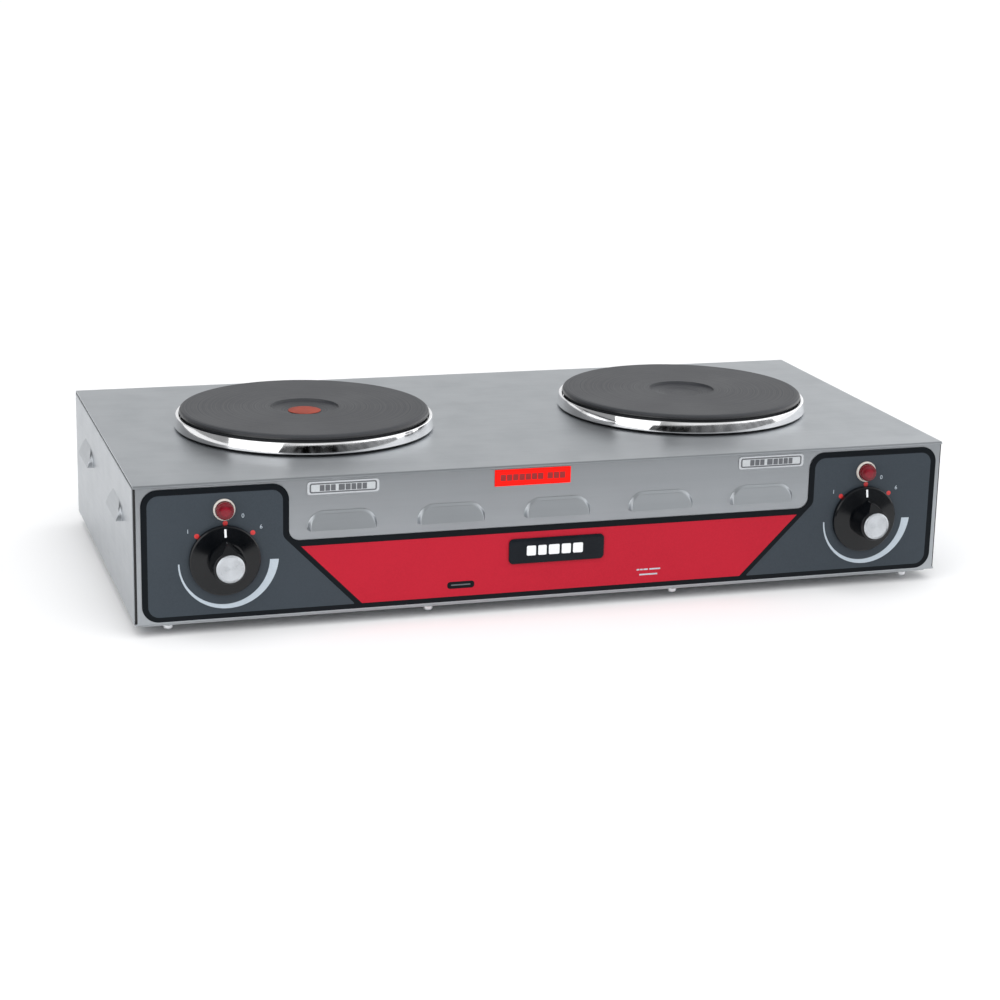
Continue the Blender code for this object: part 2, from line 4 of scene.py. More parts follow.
import bmesh
import bpy
from mathutils import Matrix, Vector
from mathutils.geometry import tessellate_polygon


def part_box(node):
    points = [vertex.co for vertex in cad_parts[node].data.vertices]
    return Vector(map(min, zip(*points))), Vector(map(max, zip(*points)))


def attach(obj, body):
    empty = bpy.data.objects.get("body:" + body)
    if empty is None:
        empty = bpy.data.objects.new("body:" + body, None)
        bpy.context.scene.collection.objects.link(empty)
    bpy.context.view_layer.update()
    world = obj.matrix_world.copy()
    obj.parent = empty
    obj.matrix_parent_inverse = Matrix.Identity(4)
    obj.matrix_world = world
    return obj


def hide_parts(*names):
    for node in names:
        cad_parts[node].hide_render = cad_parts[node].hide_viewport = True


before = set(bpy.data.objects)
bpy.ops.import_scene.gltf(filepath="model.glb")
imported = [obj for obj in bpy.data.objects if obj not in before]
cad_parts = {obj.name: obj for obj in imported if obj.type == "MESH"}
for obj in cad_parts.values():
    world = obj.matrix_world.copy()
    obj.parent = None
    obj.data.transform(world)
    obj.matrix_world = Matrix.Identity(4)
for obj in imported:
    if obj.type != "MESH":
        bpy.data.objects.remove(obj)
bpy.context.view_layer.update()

MM = 0.001
scene = bpy.context.scene
scene.view_settings.view_transform = "Standard"

# ------------------------------------------------------------ places, from the frame

GAP = 0.3 * MM                                     # clearance the CAD leaves between pieces
WRAP_LOW, WRAP_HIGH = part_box("housing_wrap")
LOUVRE_OUT = 4.5                                   # mm, how far the hoods stand out
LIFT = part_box("bottom_pan")[1].z + GAP             # the cabinet's bottom edge
TOP_Z = WRAP_HIGH.z
FRONT_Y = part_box("control_overlay")[1].y + GAP
BACK_Y = WRAP_HIGH.y
MID_Y = (FRONT_Y + BACK_Y) / 2
SIDE_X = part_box("right_side_panel")[1].x - LOUVRE_OUT * MM


def centre(node):
    low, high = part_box(node)
    return (low + high) / 2


def face_frame(origin, turn):
    """x along the face, y up from the cabinet's bottom edge, z outwards."""
    return Matrix.Translation(origin) @ Matrix.Rotation(turn, 4, "Z") @ Matrix.Rotation(pi / 2, 4, "X")


FRONT = face_frame((0, FRONT_Y, LIFT), 0)
BACK = face_frame((0, BACK_Y, LIFT), pi)
LEFT = face_frame((-SIDE_X, MID_Y, LIFT), -pi / 2)
RIGHT = face_frame((SIDE_X, MID_Y, LIFT), pi / 2)
UNDER = Matrix.Translation((0, 0, LIFT))
WORLD = Matrix.Identity(4)


def on_front(x, z, out=0.0):
    """A point of the front, given in metres along, above the bottom edge and outwards."""
    return FRONT @ Matrix.Translation((x, z, out))


# --------------------------------------------------------------------- material nodes

class Nodes:
    """Short calls for wiring one material."""

    def __init__(self, name):
        self.material = bpy.data.materials.new(name)
        self.material.use_nodes = True
        self.tree = self.material.node_tree
        self.shader = self.tree.nodes["Principled BSDF"]
        self.place = self.node("ShaderNodeTexCoord").outputs["Object"]

    def node(self, kind, **settings):
        made = self.tree.nodes.new(kind)
        for key, value in settings.items():
            setattr(made, key, value)
        return made

    def link(self, source, target):
        self.tree.links.new(source, target)

    def feed(self, socket, value):
        if isinstance(value, (int, float, tuple)):
            socket.default_value = value
        else:
            self.link(value, socket)

    def stretch(self, scale, vector=None):
        node = self.node("ShaderNodeMapping")
        node.inputs["Scale"].default_value = scale if isinstance(scale, tuple) else (scale,) * 3
        self.link(vector or self.place, node.inputs["Vector"])
        return node.outputs["Vector"]

    def noise(self, scale, detail=3.0, rough=0.55, vector=None):
        node = self.node("ShaderNodeTexNoise")
        self.link(self.stretch(scale, vector), node.inputs["Vector"])
        node.inputs["Scale"].default_value = 1.0
        node.inputs["Detail"].default_value = detail
        node.inputs["Roughness"].default_value = rough
        return node.outputs["Fac"]

    def spots(self, scale):
        node = self.node("ShaderNodeTexVoronoi")
        self.link(self.stretch(scale), node.inputs["Vector"])
        node.inputs["Scale"].default_value = 1.0
        return node.outputs["Distance"]

    def radius(self):
        """Distance from the piece's own Z axis, in metres."""
        flat = self.node("ShaderNodeVectorMath", operation="MULTIPLY")
        self.link(self.place, flat.inputs[0])
        flat.inputs[1].default_value = (1, 1, 0)
        length = self.node("ShaderNodeVectorMath", operation="LENGTH")
        self.link(flat.outputs[0], length.inputs[0])
        return length.outputs["Value"]

    def rings(self, per_metre, detail=2.0):
        """Concentric turning marks round the piece's Z axis."""
        node = self.node("ShaderNodeTexNoise", noise_dimensions="1D")
        self.link(self.maths("MULTIPLY", self.radius(), per_metre), node.inputs["W"])
        node.inputs["Scale"].default_value = 1.0
        node.inputs["Detail"].default_value = detail
        return node.outputs["Fac"]

    def maths(self, operation, first, second=0.0, clamp=False):
        node = self.node("ShaderNodeMath", operation=operation, use_clamp=clamp)
        self.feed(node.inputs[0], first)
        self.feed(node.inputs[1], second)
        return node.outputs[0]

    def span(self, value, low, high, start=0.3, end=0.7):
        """value between start and end, mapped smoothly to low and high."""
        node = self.node("ShaderNodeMapRange", interpolation_type="SMOOTHSTEP")
        self.feed(node.inputs["Value"], value)
        for socket, number in (("From Min", start), ("From Max", end), ("To Min", low), ("To Max", high)):
            node.inputs[socket].default_value = number
        return node.outputs["Result"]

    def mix(self, factor, first, second):
        node = self.node("ShaderNodeMix", data_type="RGBA")
        self.feed(node.inputs["Factor"], factor)
        for socket, colour in ((node.inputs[6], first), (node.inputs[7], second)):
            self.feed(socket, (*colour, 1.0) if isinstance(colour, tuple) else colour)
        return node.outputs[2]

    def edges(self, radius):
        """1 along sharp convex or concave edges, 0 on open faces."""
        bevel = self.node("ShaderNodeBevel", samples=4)
        bevel.inputs["Radius"].default_value = radius
        dot = self.node("ShaderNodeVectorMath", operation="DOT_PRODUCT")
        self.link(bevel.outputs["Normal"], dot.inputs[0])
        self.link(self.node("ShaderNodeNewGeometry").outputs["Normal"], dot.inputs[1])
        return self.span(dot.outputs["Value"], 1.0, 0.0, 0.80, 0.985)

    def bump(self, height, distance, strength=1.0, under=None):
        node = self.node("ShaderNodeBump")
        node.inputs["Strength"].default_value = strength
        node.inputs["Distance"].default_value = distance
        self.link(height, node.inputs["Height"])
        if under is not None:
            self.link(under, node.inputs["Normal"])
        return node.outputs["Normal"]

    def set(self, colour=None, rough=None, normal=None, **fixed):
        inputs = self.shader.inputs
        if colour is not None:
            self.feed(inputs["Base Color"], (*colour, 1.0) if isinstance(colour, tuple) else colour)
        if rough is not None:
            self.feed(inputs["Roughness"], rough)
        if normal is not None:
            self.link(normal, inputs["Normal"])
        for key, value in fixed.items():
            inputs[key.replace("_", " ")].default_value = value
        return self.material


def shade(colour, factor):
    return tuple(min(1.0, c * factor) for c in colour)


def stainless():
    """Sheet with a fine horizontal satin grain, along each piece's own x."""
    n = Nodes("stainless_satin")
    fine = n.noise((30, 2600, 2600), 2.0)
    broad = n.noise((5, 240, 240), 3.0)
    cloud = n.noise((4, 9, 9), 3.0)
    smudge = n.noise(38, 5.0, 0.6)
    tint = n.mix(n.span(broad, 0.0, 1.0), (0.392, 0.414, 0.436), (0.408, 0.430, 0.452))
    tint = n.mix(n.span(cloud, 0.0, 0.35), tint, (0.418, 0.440, 0.461))
    tint = n.mix(n.maths("MULTIPLY", n.edges(0.0008), 0.35), tint, (0.50, 0.52, 0.54))
    rough = n.maths("ADD", n.span(fine, 0.33, 0.38), n.span(smudge, -0.02, 0.03, 0.35, 0.75))
    normal = n.bump(fine, 0.000006, 0.4)
    normal = n.bump(broad, 0.000004, 0.3, normal)
    return n.set(tint, rough, normal, Metallic=1.0)


def chrome():
    """Mirror plating over slightly wavy spun steel."""
    n = Nodes("chrome_plate")
    wave = n.noise((9, 9, 5), 1.0)
    haze = n.noise(70, 4.0)
    tint = n.mix(n.span(haze, 0.0, 1.0), (0.80, 0.80, 0.81), (0.90, 0.90, 0.905))
    rough = n.span(haze, 0.035, 0.10)
    normal = n.bump(wave, 0.0025, 0.5)
    return n.set(tint, rough, n.bump(n.rings(2600), 0.000004, 0.4, normal), Metallic=1.0)


def cast_iron():
    """Machined and blackened cooking face: turning rings over a fine grain, polished smoother at its rim,
    where the colour is darkened as painted shade.
    """
    n = Nodes("cast_iron_seasoned")
    rings = n.rings(900, 3.0)
    grain = n.noise(2300, 3.0)
    cloud = n.noise(16, 4.0, 0.6)
    rim = n.span(n.radius(), 0.0, 1.0, 0.0939, 0.0949)
    tint = n.mix(n.span(cloud, 0.0, 1.0), (0.031, 0.033, 0.038), (0.041, 0.043, 0.048))
    tint = n.mix(n.span(rings, 0.0, 0.25), tint, (0.046, 0.048, 0.053))
    # Painted shade: the outer rounding and side wall are darkened, standing for the shadow in the gap beside
    # the spill ring
    tint = n.mix(rim, tint, (0.012, 0.013, 0.015))
    rough = n.maths("ADD", n.span(rings, 0.46, 0.56), n.span(cloud, -0.03, 0.05))
    rough = n.maths("SUBTRACT", rough, n.maths("MULTIPLY", rim, 0.26))
    normal = n.bump(rings, 0.00002, 0.25)
    normal = n.bump(grain, 0.00003, 0.5, normal)
    return n.set(tint, rough, normal, Metallic=0.15)


def plastic(name, colour, rough, grain=1800, depth=0.00001, vary=0.12, metal=0.0, rub=0.0, **fixed):
    """Moulded or painted surface: slight clouding, fine skin texture, optional rubbed edges."""
    n = Nodes(name)
    cloud = n.noise(45, 4.0)
    skin = n.noise(grain, 3.0)
    tint = n.mix(n.span(cloud, 0.0, 1.0), shade(colour, 1 - vary), shade(colour, 1 + vary))
    if rub:
        tint = n.mix(n.maths("MULTIPLY", n.edges(0.0006), rub), tint, shade(colour, 2.2))
    value = n.maths("ADD", n.span(skin, rough - 0.04, rough + 0.04), n.span(cloud, -0.03, 0.03))
    return n.set(tint, value, n.bump(skin, depth, 0.6), Metallic=metal, **fixed)


def film(name, colour, rough=0.34, vary=0.05, **fixed):
    """Screen-printed ink on a fine velvet polyester film."""
    n = Nodes(name)
    velvet = n.spots(2900)
    mottle = n.noise(900, 3.0)
    cloud = n.noise(12, 3.0)
    tint = n.mix(n.span(mottle, 0.0, 1.0), shade(colour, 1 - vary), shade(colour, 1 + vary))
    tint = n.mix(n.span(cloud, 0.0, 0.5), tint, shade(colour, 1 + 2 * vary))
    sheen = n.span(velvet, rough - 0.04, rough + 0.04, 0.2, 0.8)
    sheen = n.maths("ADD", sheen, n.span(cloud, -0.02, 0.03))
    return n.set(tint, sheen, n.bump(velvet, 0.000012, 0.5), **fixed)


def spun_metal(name, colour, rough, anisotropy=0.7):
    """Turned face with concentric marks that draw the highlight into spokes."""
    n = Nodes(name)
    marks = n.rings(5200, 3.0)
    coarse = n.rings(1300, 1.0)
    haze = n.noise(300, 3.0)
    tint = n.mix(n.span(marks, 0.0, 1.0), shade(colour, 0.93), shade(colour, 1.05))
    value = n.maths("ADD", n.span(marks, rough - 0.05, rough + 0.06), n.span(haze, -0.03, 0.03))
    normal = n.bump(marks, 0.00001, 0.7)
    normal = n.bump(coarse, 0.00001, 0.5, normal)
    tangent = n.node("ShaderNodeTangent", direction_type="RADIAL", axis="Z")
    n.link(tangent.outputs["Tangent"], n.shader.inputs["Tangent"])
    return n.set(tint, value, normal, Metallic=1.0, Anisotropic=anisotropy)


def lens_red():
    """Clear red moulding with faint swirls, its middle painted brighter as light showing through the dome."""
    n = Nodes("pilot_lens_red")
    # Painted light: this mask colours the middle brighter, standing for light seen through the clear lens
    depth = n.span(n.radius(), 1.0, 0.0, 0.0028, 0.0042)
    swirl = n.noise(260, 3.0)
    tint = n.mix(depth, (0.130, 0.003, 0.009), (0.215, 0.006, 0.017))
    tint = n.mix(n.span(swirl, 0.0, 0.25), tint, (0.105, 0.003, 0.007))
    return n.set(
        tint, n.span(swirl, 0.16, 0.26), n.bump(swirl, 0.00002, 0.4), Specular_IOR_Level=0.35,
        Coat_Weight=0.12, Coat_Roughness=0.08, Subsurface_Weight=0.15, Subsurface_Scale=0.002,
    )


def knob_plastic():
    """Glossy phenolic: near black with faint moulding flow and rubbed rims."""
    n = Nodes("knob_phenolic")
    flow = n.noise((60, 60, 140), 4.0)
    skin = n.noise(2400, 2.0)
    tint = n.mix(n.span(flow, 0.0, 1.0), (0.0017, 0.0023, 0.0033), (0.0030, 0.0037, 0.0050))
    tint = n.mix(n.maths("MULTIPLY", n.edges(0.0004), 0.35), tint, (0.05, 0.052, 0.055))
    rough = n.maths("ADD", n.span(skin, 0.13, 0.20), n.span(flow, -0.02, 0.03))
    return n.set(tint, rough, n.bump(skin, 0.000006, 0.5), Specular_IOR_Level=0.36)


STEEL = stainless()
CHROME = chrome()
IRON = cast_iron()
KNOB = knob_plastic()
LENS = lens_red()
ALUMINIUM = spun_metal("aluminium_spun", (0.575, 0.60, 0.63), 0.24)
ZINC = plastic("zinc_plated", (0.66, 0.67, 0.69), 0.30, 1500, 0.00001, 0.10, metal=1.0)
BRASS = plastic("brass_bright", (0.70, 0.50, 0.20), 0.28, 1500, 0.00001, 0.10, metal=1.0)
BEZEL = plastic("bezel_ivory", (0.58, 0.54, 0.50), 0.30, 2400, 0.000006, 0.05)
RUBBER = plastic("foot_rubber", (0.020, 0.020, 0.021), 0.78, 1200, 0.00003, 0.15, rub=0.3)
GLAND = plastic("gland_nylon", (0.024, 0.025, 0.027), 0.48, 1500, 0.00002, 0.12, rub=0.3)
MOULDING = plastic("switch_phenolic", (0.050, 0.035, 0.025), 0.58, 1300, 0.00002, 0.18, rub=0.2)
NYLON = plastic("cam_nylon", (0.72, 0.70, 0.64), 0.48, 1300, 0.00001, 0.05)
CERAMIC = plastic("steatite_block", (0.78, 0.74, 0.66), 0.55, 900, 0.00003, 0.06)
SILICONE = plastic("lead_silicone", (0.42, 0.02, 0.02), 0.52, 1400, 0.00002, 0.12)
MARKER = plastic("marker_enamel", (0.30, 0.050, 0.030), 0.60, 1100, 0.00003, 0.25, Specular_IOR_Level=0.2)
SATIN = {"Specular_IOR_Level": 0.12}               # takes most of the shine off
BLACK_FILM = film("film_black", (0.0032, 0.0050, 0.0072), **SATIN)
CHARCOAL_FILM = film("film_charcoal", (0.041, 0.051, 0.062), **SATIN)
RED_FILM = film("film_red", (0.425, 0.012, 0.028), 0.36, **SATIN)
PALE_INK = film("ink_pale", (0.425, 0.487, 0.545), 0.42)
RED_INK = film("ink_red", (0.60, 0.030, 0.030), 0.42)
GREY_INK = film("ink_grey", (0.10, 0.105, 0.115), 0.45)
LABEL_RIM = film("label_rim", (0.43, 0.45, 0.47), 0.45)
LABEL_FACE = film("label_face", (0.455, 0.478, 0.495), 0.45)
ORANGE_FACE = film("label_orange", (1.0, 0.010, 0.006), 0.5, 0.03, Specular_IOR_Level=0.08)
ORANGE_INK = film("label_orange_ink", (0.26, 0.008, 0.008), 0.45)
BADGE = plastic("badge_gloss", (0.0080, 0.0105, 0.0140), 0.26, 2000, 0.000005, 0.10, rub=0.3, **SATIN)
WHITE_INK = film("ink_white", (0.78, 0.80, 0.82), 0.40)


# ----------------------------------------------------------------------- mesh helpers

def piece(name, mesh, material, place=WORLD, body="cabinet", stands_for=(), sharp=35):
    """Put a mesh in the scene as a piece that rides on a body."""
    obj = bpy.data.objects.new(name, mesh)
    scene.collection.objects.link(obj)
    obj.matrix_world = place
    mesh.materials.append(material)
    mesh.shade_smooth()
    mesh.set_sharp_from_angle(angle=radians(sharp))
    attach(obj, body)
    if stands_for:
        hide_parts(*stands_for)
    return obj


def mesh_from(name, bm, weld=1e-7):
    if weld:
        bmesh.ops.remove_doubles(bm, verts=bm.verts, dist=weld)
    bmesh.ops.recalc_face_normals(bm, faces=bm.faces)
    mesh = bpy.data.meshes.new(name)
    bm.to_mesh(mesh)
    bm.free()
    return mesh


FACE_STRENGTH = "__mod_weightednormals_faceweight"  # the face mark that the modifier reads
STRONG = 16384


def weigh(obj):
    """Keeps flat faces flat beside their rounded folds."""
    strength = obj.data.attributes.new(FACE_STRENGTH, "INT", "FACE")
    for face, mark in zip(obj.data.polygons, strength.data):
        mark.value = STRONG if max(abs(part) for part in face.normal) > 0.99999 else 0
    modifier = obj.modifiers.new("weigh", "WEIGHTED_NORMAL")
    modifier.keep_sharp = True
    modifier.use_face_influence = True
    return obj


def rounded(corners, steps=10, closed=True):
    """Outline through (x, y, radius) corners, with an arc at each corner that has a radius."""
    points = []
    count = len(corners)
    for i, (x, y, radius) in enumerate(corners):
        here = Vector((x, y))
        if radius < 1e-9 or (not closed and i in (0, count - 1)):
            points.append(here)
            continue
        before = (Vector(corners[i - 1][:2]) - here).normalized()
        after = (Vector(corners[(i + 1) % count][:2]) - here).normalized()
        half = acos(max(-1.0, min(1.0, before.dot(after)))) / 2
        if half > pi / 2 - 0.02:
            points.append(here)
            continue
        middle = here + (before + after).normalized() * (radius / sin(half))
        start = here + before * (radius / tan(half)) - middle
        end = here + after * (radius / tan(half)) - middle
        points += [middle + start.slerp(end, k / steps).normalized() * radius for k in range(steps + 1)]
    return points


def rectangle(width, height, radius, middle=(0, 0), steps=8):
    x, y = middle
    sides = [(-1, -1), (1, -1), (1, 1), (-1, 1)]
    return rounded([(x + sx * width / 2, y + sy * height / 2, radius) for sx, sy in sides], steps)


def disc(radius, middle=(0, 0), steps=48):
    return [
        Vector((middle[0] + radius * cos(2 * pi * k / steps), middle[1] + radius * sin(2 * pi * k / steps)))
        for k in range(steps)
    ]


def slab(name, outline, low, high, holes=(), soft=0.0):
    """An outline in mm, with holes, made solid between two heights in mm; soft rounds its upper rim."""
    bm = bmesh.new()
    loops = [list(outline)] + [list(h) for h in holes]
    flat = [p for loop in loops for p in loop]
    levels = [low, high] if not soft else [low, high - soft, high - 0.3 * soft, high]
    insets = [0, 0] if not soft else [0, 0, 0.3 * soft, soft]
    rows = []
    for level, inset in zip(levels, insets):
        row = []
        for loop in loops:
            for i, point in enumerate(loop):
                shifted = point
                if inset:
                    ahead, behind = loop[(i + 1) % len(loop)], loop[i - 1]
                    along = (ahead - behind).normalized()
                    side = 1 if area(loop) > 0 else -1
                    shifted = point + Vector((-along.y, along.x)) * inset * side
                row.append(bm.verts.new((shifted.x * MM, shifted.y * MM, level * MM)))
        rows.append(row)
    triangles = tessellate_polygon([[(p.x, p.y, 0) for p in loop] for loop in loops])
    for row in (rows[0], rows[-1]):
        for tri in triangles:
            if abs((flat[tri[1]] - flat[tri[0]]).cross(flat[tri[2]] - flat[tri[0]])) > 1e-9:
                bm.faces.new([row[i] for i in tri])
    start = 0
    for loop in loops:
        for lower, upper in zip(rows, rows[1:]):
            for i in range(len(loop)):
                a, b = start + i, start + (i + 1) % len(loop)
                bm.faces.new([lower[a], lower[b], upper[b], upper[a]])
        start += len(loop)
    return mesh_from(name, bm)


def area(loop):
    """Signed: above 0 for an outline that runs anticlockwise."""
    return sum(a.cross(b) for a, b in zip(loop, loop[1:] + loop[:1])) / 2


def add_prism(bm, lower, upper):
    """A closed solid between two rings of as many points, in metres."""
    lower = [bm.verts.new(p) for p in lower]
    upper = [bm.verts.new(p) for p in upper]
    bm.faces.new(lower)
    bm.faces.new(upper)
    for i in range(len(lower)):
        j = (i + 1) % len(lower)
        bm.faces.new([lower[i], lower[j], upper[j], upper[i]])


def slabs(name, outlines, low, high):
    """Several small solids in one mesh."""
    bm = bmesh.new()
    for outline in outlines:
        add_prism(bm, *([(p.x * MM, p.y * MM, level * MM) for p in outline] for level in (low, high)))
    return mesh_from(name, bm)


def softened(profile, radius, steps=4, closed=False):
    """A profile of (radius, height) with every corner that has room rounded."""
    corners = []
    count = len(profile)
    for i, (r, h) in enumerate(profile):
        before = profile[i - 1] if i or closed else None
        after = profile[(i + 1) % count] if i < count - 1 or closed else None
        if r < 1e-6 or before is None or after is None:
            corners.append((r, h, 0))
            continue
        room = min(hypot(r - before[0], h - before[1]), hypot(after[0] - r, after[1] - h)) * 0.45
        one, two = Vector((before[0] - r, before[1] - h)), Vector((after[0] - r, after[1] - h))
        half = acos(max(-1.0, min(1.0, one.normalized().dot(two.normalized())))) / 2
        corners.append((r, h, min(radius, room * tan(half))))
    return [(p.x, p.y) for p in rounded(corners, steps, closed)]


def lathe(name, profile, steps=96, closed=False, ripple=None):
    """A profile of (radius, height) in mm turned about Z."""
    bm = bmesh.new()
    rows = []
    for r, h in profile:
        if r < 1e-6:
            rows.append([bm.verts.new((0, 0, h * MM))])
            continue
        row = []
        for k in range(steps):
            angle = 2 * pi * k / steps
            radius = r + (ripple(r, h, angle) if ripple else 0)
            row.append(bm.verts.new((radius * MM * cos(angle), radius * MM * sin(angle), h * MM)))
        rows.append(row)
    pairs = list(zip(rows, rows[1:]))
    if closed:
        pairs.append((rows[-1], rows[0]))
    for one, two in pairs:
        for k in range(steps):
            j = (k + 1) % steps
            ring = [one[k % len(one)], one[j % len(one)], two[j % len(two)], two[k % len(two)]]
            ring = list(dict.fromkeys(ring))
            if len(ring) > 2:
                bm.faces.new(ring)
    return mesh_from(name, bm, weld=0)


def turned(name, profile, steps, material, place, node, slot, body="cabinet", sharp=35, **how):
    """A lathed piece that stands for one CAD node."""
    return piece(name, lathe(name, profile, steps, **how), material, place, body, [node], sharp)


# ------------------------------------------------------------------ sheet with louvres

# Millimetres on a face: the hood's outline, and the flat outline it is drawn in to
LOUVRE_W, LOUVRE_H, LOUVRE_CORNER = 51.0, 14.0, 12.2
CREST_H, CREST_CORNER = 11.0, 10.2
CREST_FALL = 0.327                                 # how much lower the crest lies per mm up the face
LOUVRE_FOOT = 62.6                                 # the slot, above the cabinet's bottom edge
FRONT_LOUVRES = [80.0 * i for i in range(-2, 3)]
SIDE_LOUVRES = (-76.5, 76.5)


def hood_line(half, height, radius):
    """A D-shaped outline, from its lower left corner over the top to its lower right."""
    upright, steps, across = 4, 12, 6              # points up the side, round the corner, along the top
    reach, rise = half - radius, height - radius
    line = [Vector((-half, rise * k / upright)) for k in range(upright)]
    for k in range(steps + 1):
        turn = pi / 2 * k / steps
        line.append(Vector((-half + radius - radius * cos(turn), rise + radius * sin(turn))))
    middle = [Vector((-reach + 2 * reach * k / across, height)) for k in range(1, across)]
    return line + middle + [Vector((-p.x, p.y)) for p in reversed(line)]


def eased(t, ease=0.22):
    """0 to 1, straight but for a small curve at each end."""
    top = 1 / (1 - ease)
    if t < ease:
        return top * t * t / (2 * ease)
    if t > 1 - ease:
        return 1 - top * (1 - t) ** 2 / (2 * ease)
    return top * (t - ease / 2)


def add_hood(bm, place, x, inset=2.3, rings=9):
    """One louvre hood, drawn in at its ends; returns the outline it leaves in the sheet."""
    outer = hood_line(LOUVRE_W / 2, LOUVRE_H, LOUVRE_CORNER)
    inner = hood_line(LOUVRE_W / 2 - inset, CREST_H, CREST_CORNER)
    rows = []
    for k in range(rings + 1):
        t = k / rings
        row = []
        for a, b in zip(outer, inner):
            flat = a.lerp(b, t)
            out = (LOUVRE_OUT - CREST_FALL * b.y) * eased(t)
            point = Vector(((x + flat.x) * MM, (LOUVRE_FOOT + flat.y) * MM, out * MM))
            row.append(bm.verts.new(place @ point))
        rows.append(row)
    for one, two in zip(rows, rows[1:]):
        for i in range(len(one) - 1):
            bm.faces.new([one[i], one[i + 1], two[i + 1], two[i]])
    bm.faces.new(rows[-1])
    return rows[0]


def fill(bm, corners, holes):
    """A flat face with holes, from vertices that are there already."""
    loops = [corners] + holes
    verts = [v for loop in loops for v in loop]
    for tri in tessellate_polygon([[v.co for v in loop] for loop in loops]):
        one, two, three = (verts[i] for i in tri)
        if (two.co - one.co).cross(three.co - one.co).length > 1e-12:
            bm.faces.new([one, two, three])


def take_face(bm, direction):
    """Removes the biggest face that looks in a direction, and returns its corners."""
    facing = [f for f in bm.faces if f.normal.dot(direction) > 0.999]
    biggest = max(facing, key=lambda f: f.calc_area())
    corners = list(biggest.verts)
    bmesh.ops.delete(bm, geom=[biggest], context="FACES_ONLY")
    return corners


def circle_verts(bm, place, radius, steps):
    """The rim of a round hole, radius in mm."""
    turns = [2 * pi * k / steps for k in range(steps)]
    return [bm.verts.new(place @ Vector((radius * cos(a) * MM, radius * sin(a) * MM, 0))) for a in turns]


def put_box(bm, low, high):
    """Adds a box between two corners, in metres."""
    low, high = Vector(low), Vector(high)
    size = Matrix.Diagonal((*(high - low), 1))
    bmesh.ops.create_cube(bm, size=1, matrix=Matrix.Translation((low + high) / 2) @ size)


def apply_modifiers(obj):
    """The mesh that an object gives as it is shown; its modifiers are taken off."""
    bpy.context.view_layer.update()
    mesh = bpy.data.meshes.new_from_object(obj.evaluated_get(bpy.context.evaluated_depsgraph_get()))
    obj.modifiers.clear()
    return mesh


def thicken(obj, thickness=1.0):
    """Gives a folded sheet its thickness, with crisp cut edges."""
    modifier = obj.modifiers.new("sheet", "SOLIDIFY")
    modifier.thickness = thickness * MM
    modifier.offset = -1
    modifier.use_even_offset = True
    obj.data = apply_modifiers(obj)
    obj.data.set_sharp_from_angle(angle=radians(35))
    return obj


PLATE_CENTRES = [centre("left_plate").x, centre("right_plate").x]
KNOBS = {side: centre(side + "_knob_cap") for side in ("left", "right")}
PILOTS = {side: centre(side + "_pilot_lens") for side in ("left", "right")}

FOLD = 2 * MM                                      # bend of the wrap
HEM = 12 * MM                                      # its inward flanges along the bottom
SEAM = 1.7 * MM                                    # how far its front stops short at each corner
PLATE_HOLE, SWITCH_HOLE, PILOT_HOLE = 88.3, 5.3, 6.6  # radii in mm


def make_wrap():
    """Front, top and back in one sheet, with the front's louvres and the holes in front and top."""
    low, high = WRAP_LOW.x, WRAP_HIGH.x
    bm = bmesh.new()
    put_box(bm, (low, FRONT_Y, LIFT), (high, BACK_Y, TOP_Z))
    bmesh.ops.delete(
        bm, context="FACES_ONLY", geom=[f for f in bm.faces if abs(f.normal.x) > 0.5 or f.normal.z < -0.5]
    )
    for y, inward in ((FRONT_Y, HEM), (BACK_Y, -HEM)):
        low_edge = [
            e for e in bm.edges if all(abs(v.co.y - y) < 1e-6 and abs(v.co.z - LIFT) < 1e-6 for v in e.verts)
        ]
        made = bmesh.ops.extrude_edge_only(bm, edges=low_edge)["geom"]
        moved = [g for g in made if isinstance(g, bmesh.types.BMVert)]
        bmesh.ops.translate(bm, verts=moved, vec=(0, inward, 0))
    folds = [e for e in bm.edges if len(e.link_faces) == 2]
    bmesh.ops.bevel(bm, geom=folds, offset=FOLD, segments=7, affect="EDGES", profile=0.5)
    bmesh.ops.recalc_face_normals(bm, faces=bm.faces)
    if sum((f.normal.z * f.calc_area() for f in bm.faces if f.calc_center_median().z > TOP_Z - 1e-4)) < 0:
        bmesh.ops.reverse_faces(bm, faces=bm.faces)
    for vert in bm.verts:
        if vert.co.y < FRONT_Y + 1e-5:
            vert.co.x -= SEAM * (1 if vert.co.x > 0 else -1)
    front = take_face(bm, Vector((0, -1, 0)))
    roof = take_face(bm, Vector((0, 0, 1)))
    hoods = [add_hood(bm, FRONT, x) for x in FRONT_LOUVRES]
    bores = []
    for side in ("left", "right"):
        for spot, radius in ((KNOBS[side], SWITCH_HOLE), (PILOTS[side], PILOT_HOLE)):
            bores.append(circle_verts(bm, on_front(spot.x, spot.z - LIFT), radius, 24))
    fill(bm, front, hoods + bores)
    fill(bm, roof, [
        circle_verts(bm, Matrix.Translation((x, MID_Y, TOP_Z)), PLATE_HOLE, 96) for x in PLATE_CENTRES
    ])
    mesh = mesh_from("cabinet_wrap", bm)
    weigh(thicken(piece("cabinet_wrap", mesh, STEEL, stands_for=["housing_wrap"])))


SIDE_SHORT = 2.9 * MM                              # how far a side panel stops short, front and back
SIDE_FOOT, SIDE_HEAD = 1.3 * MM, 1.9 * MM          # and below and above
SIDE_FLANGE = 14 * MM


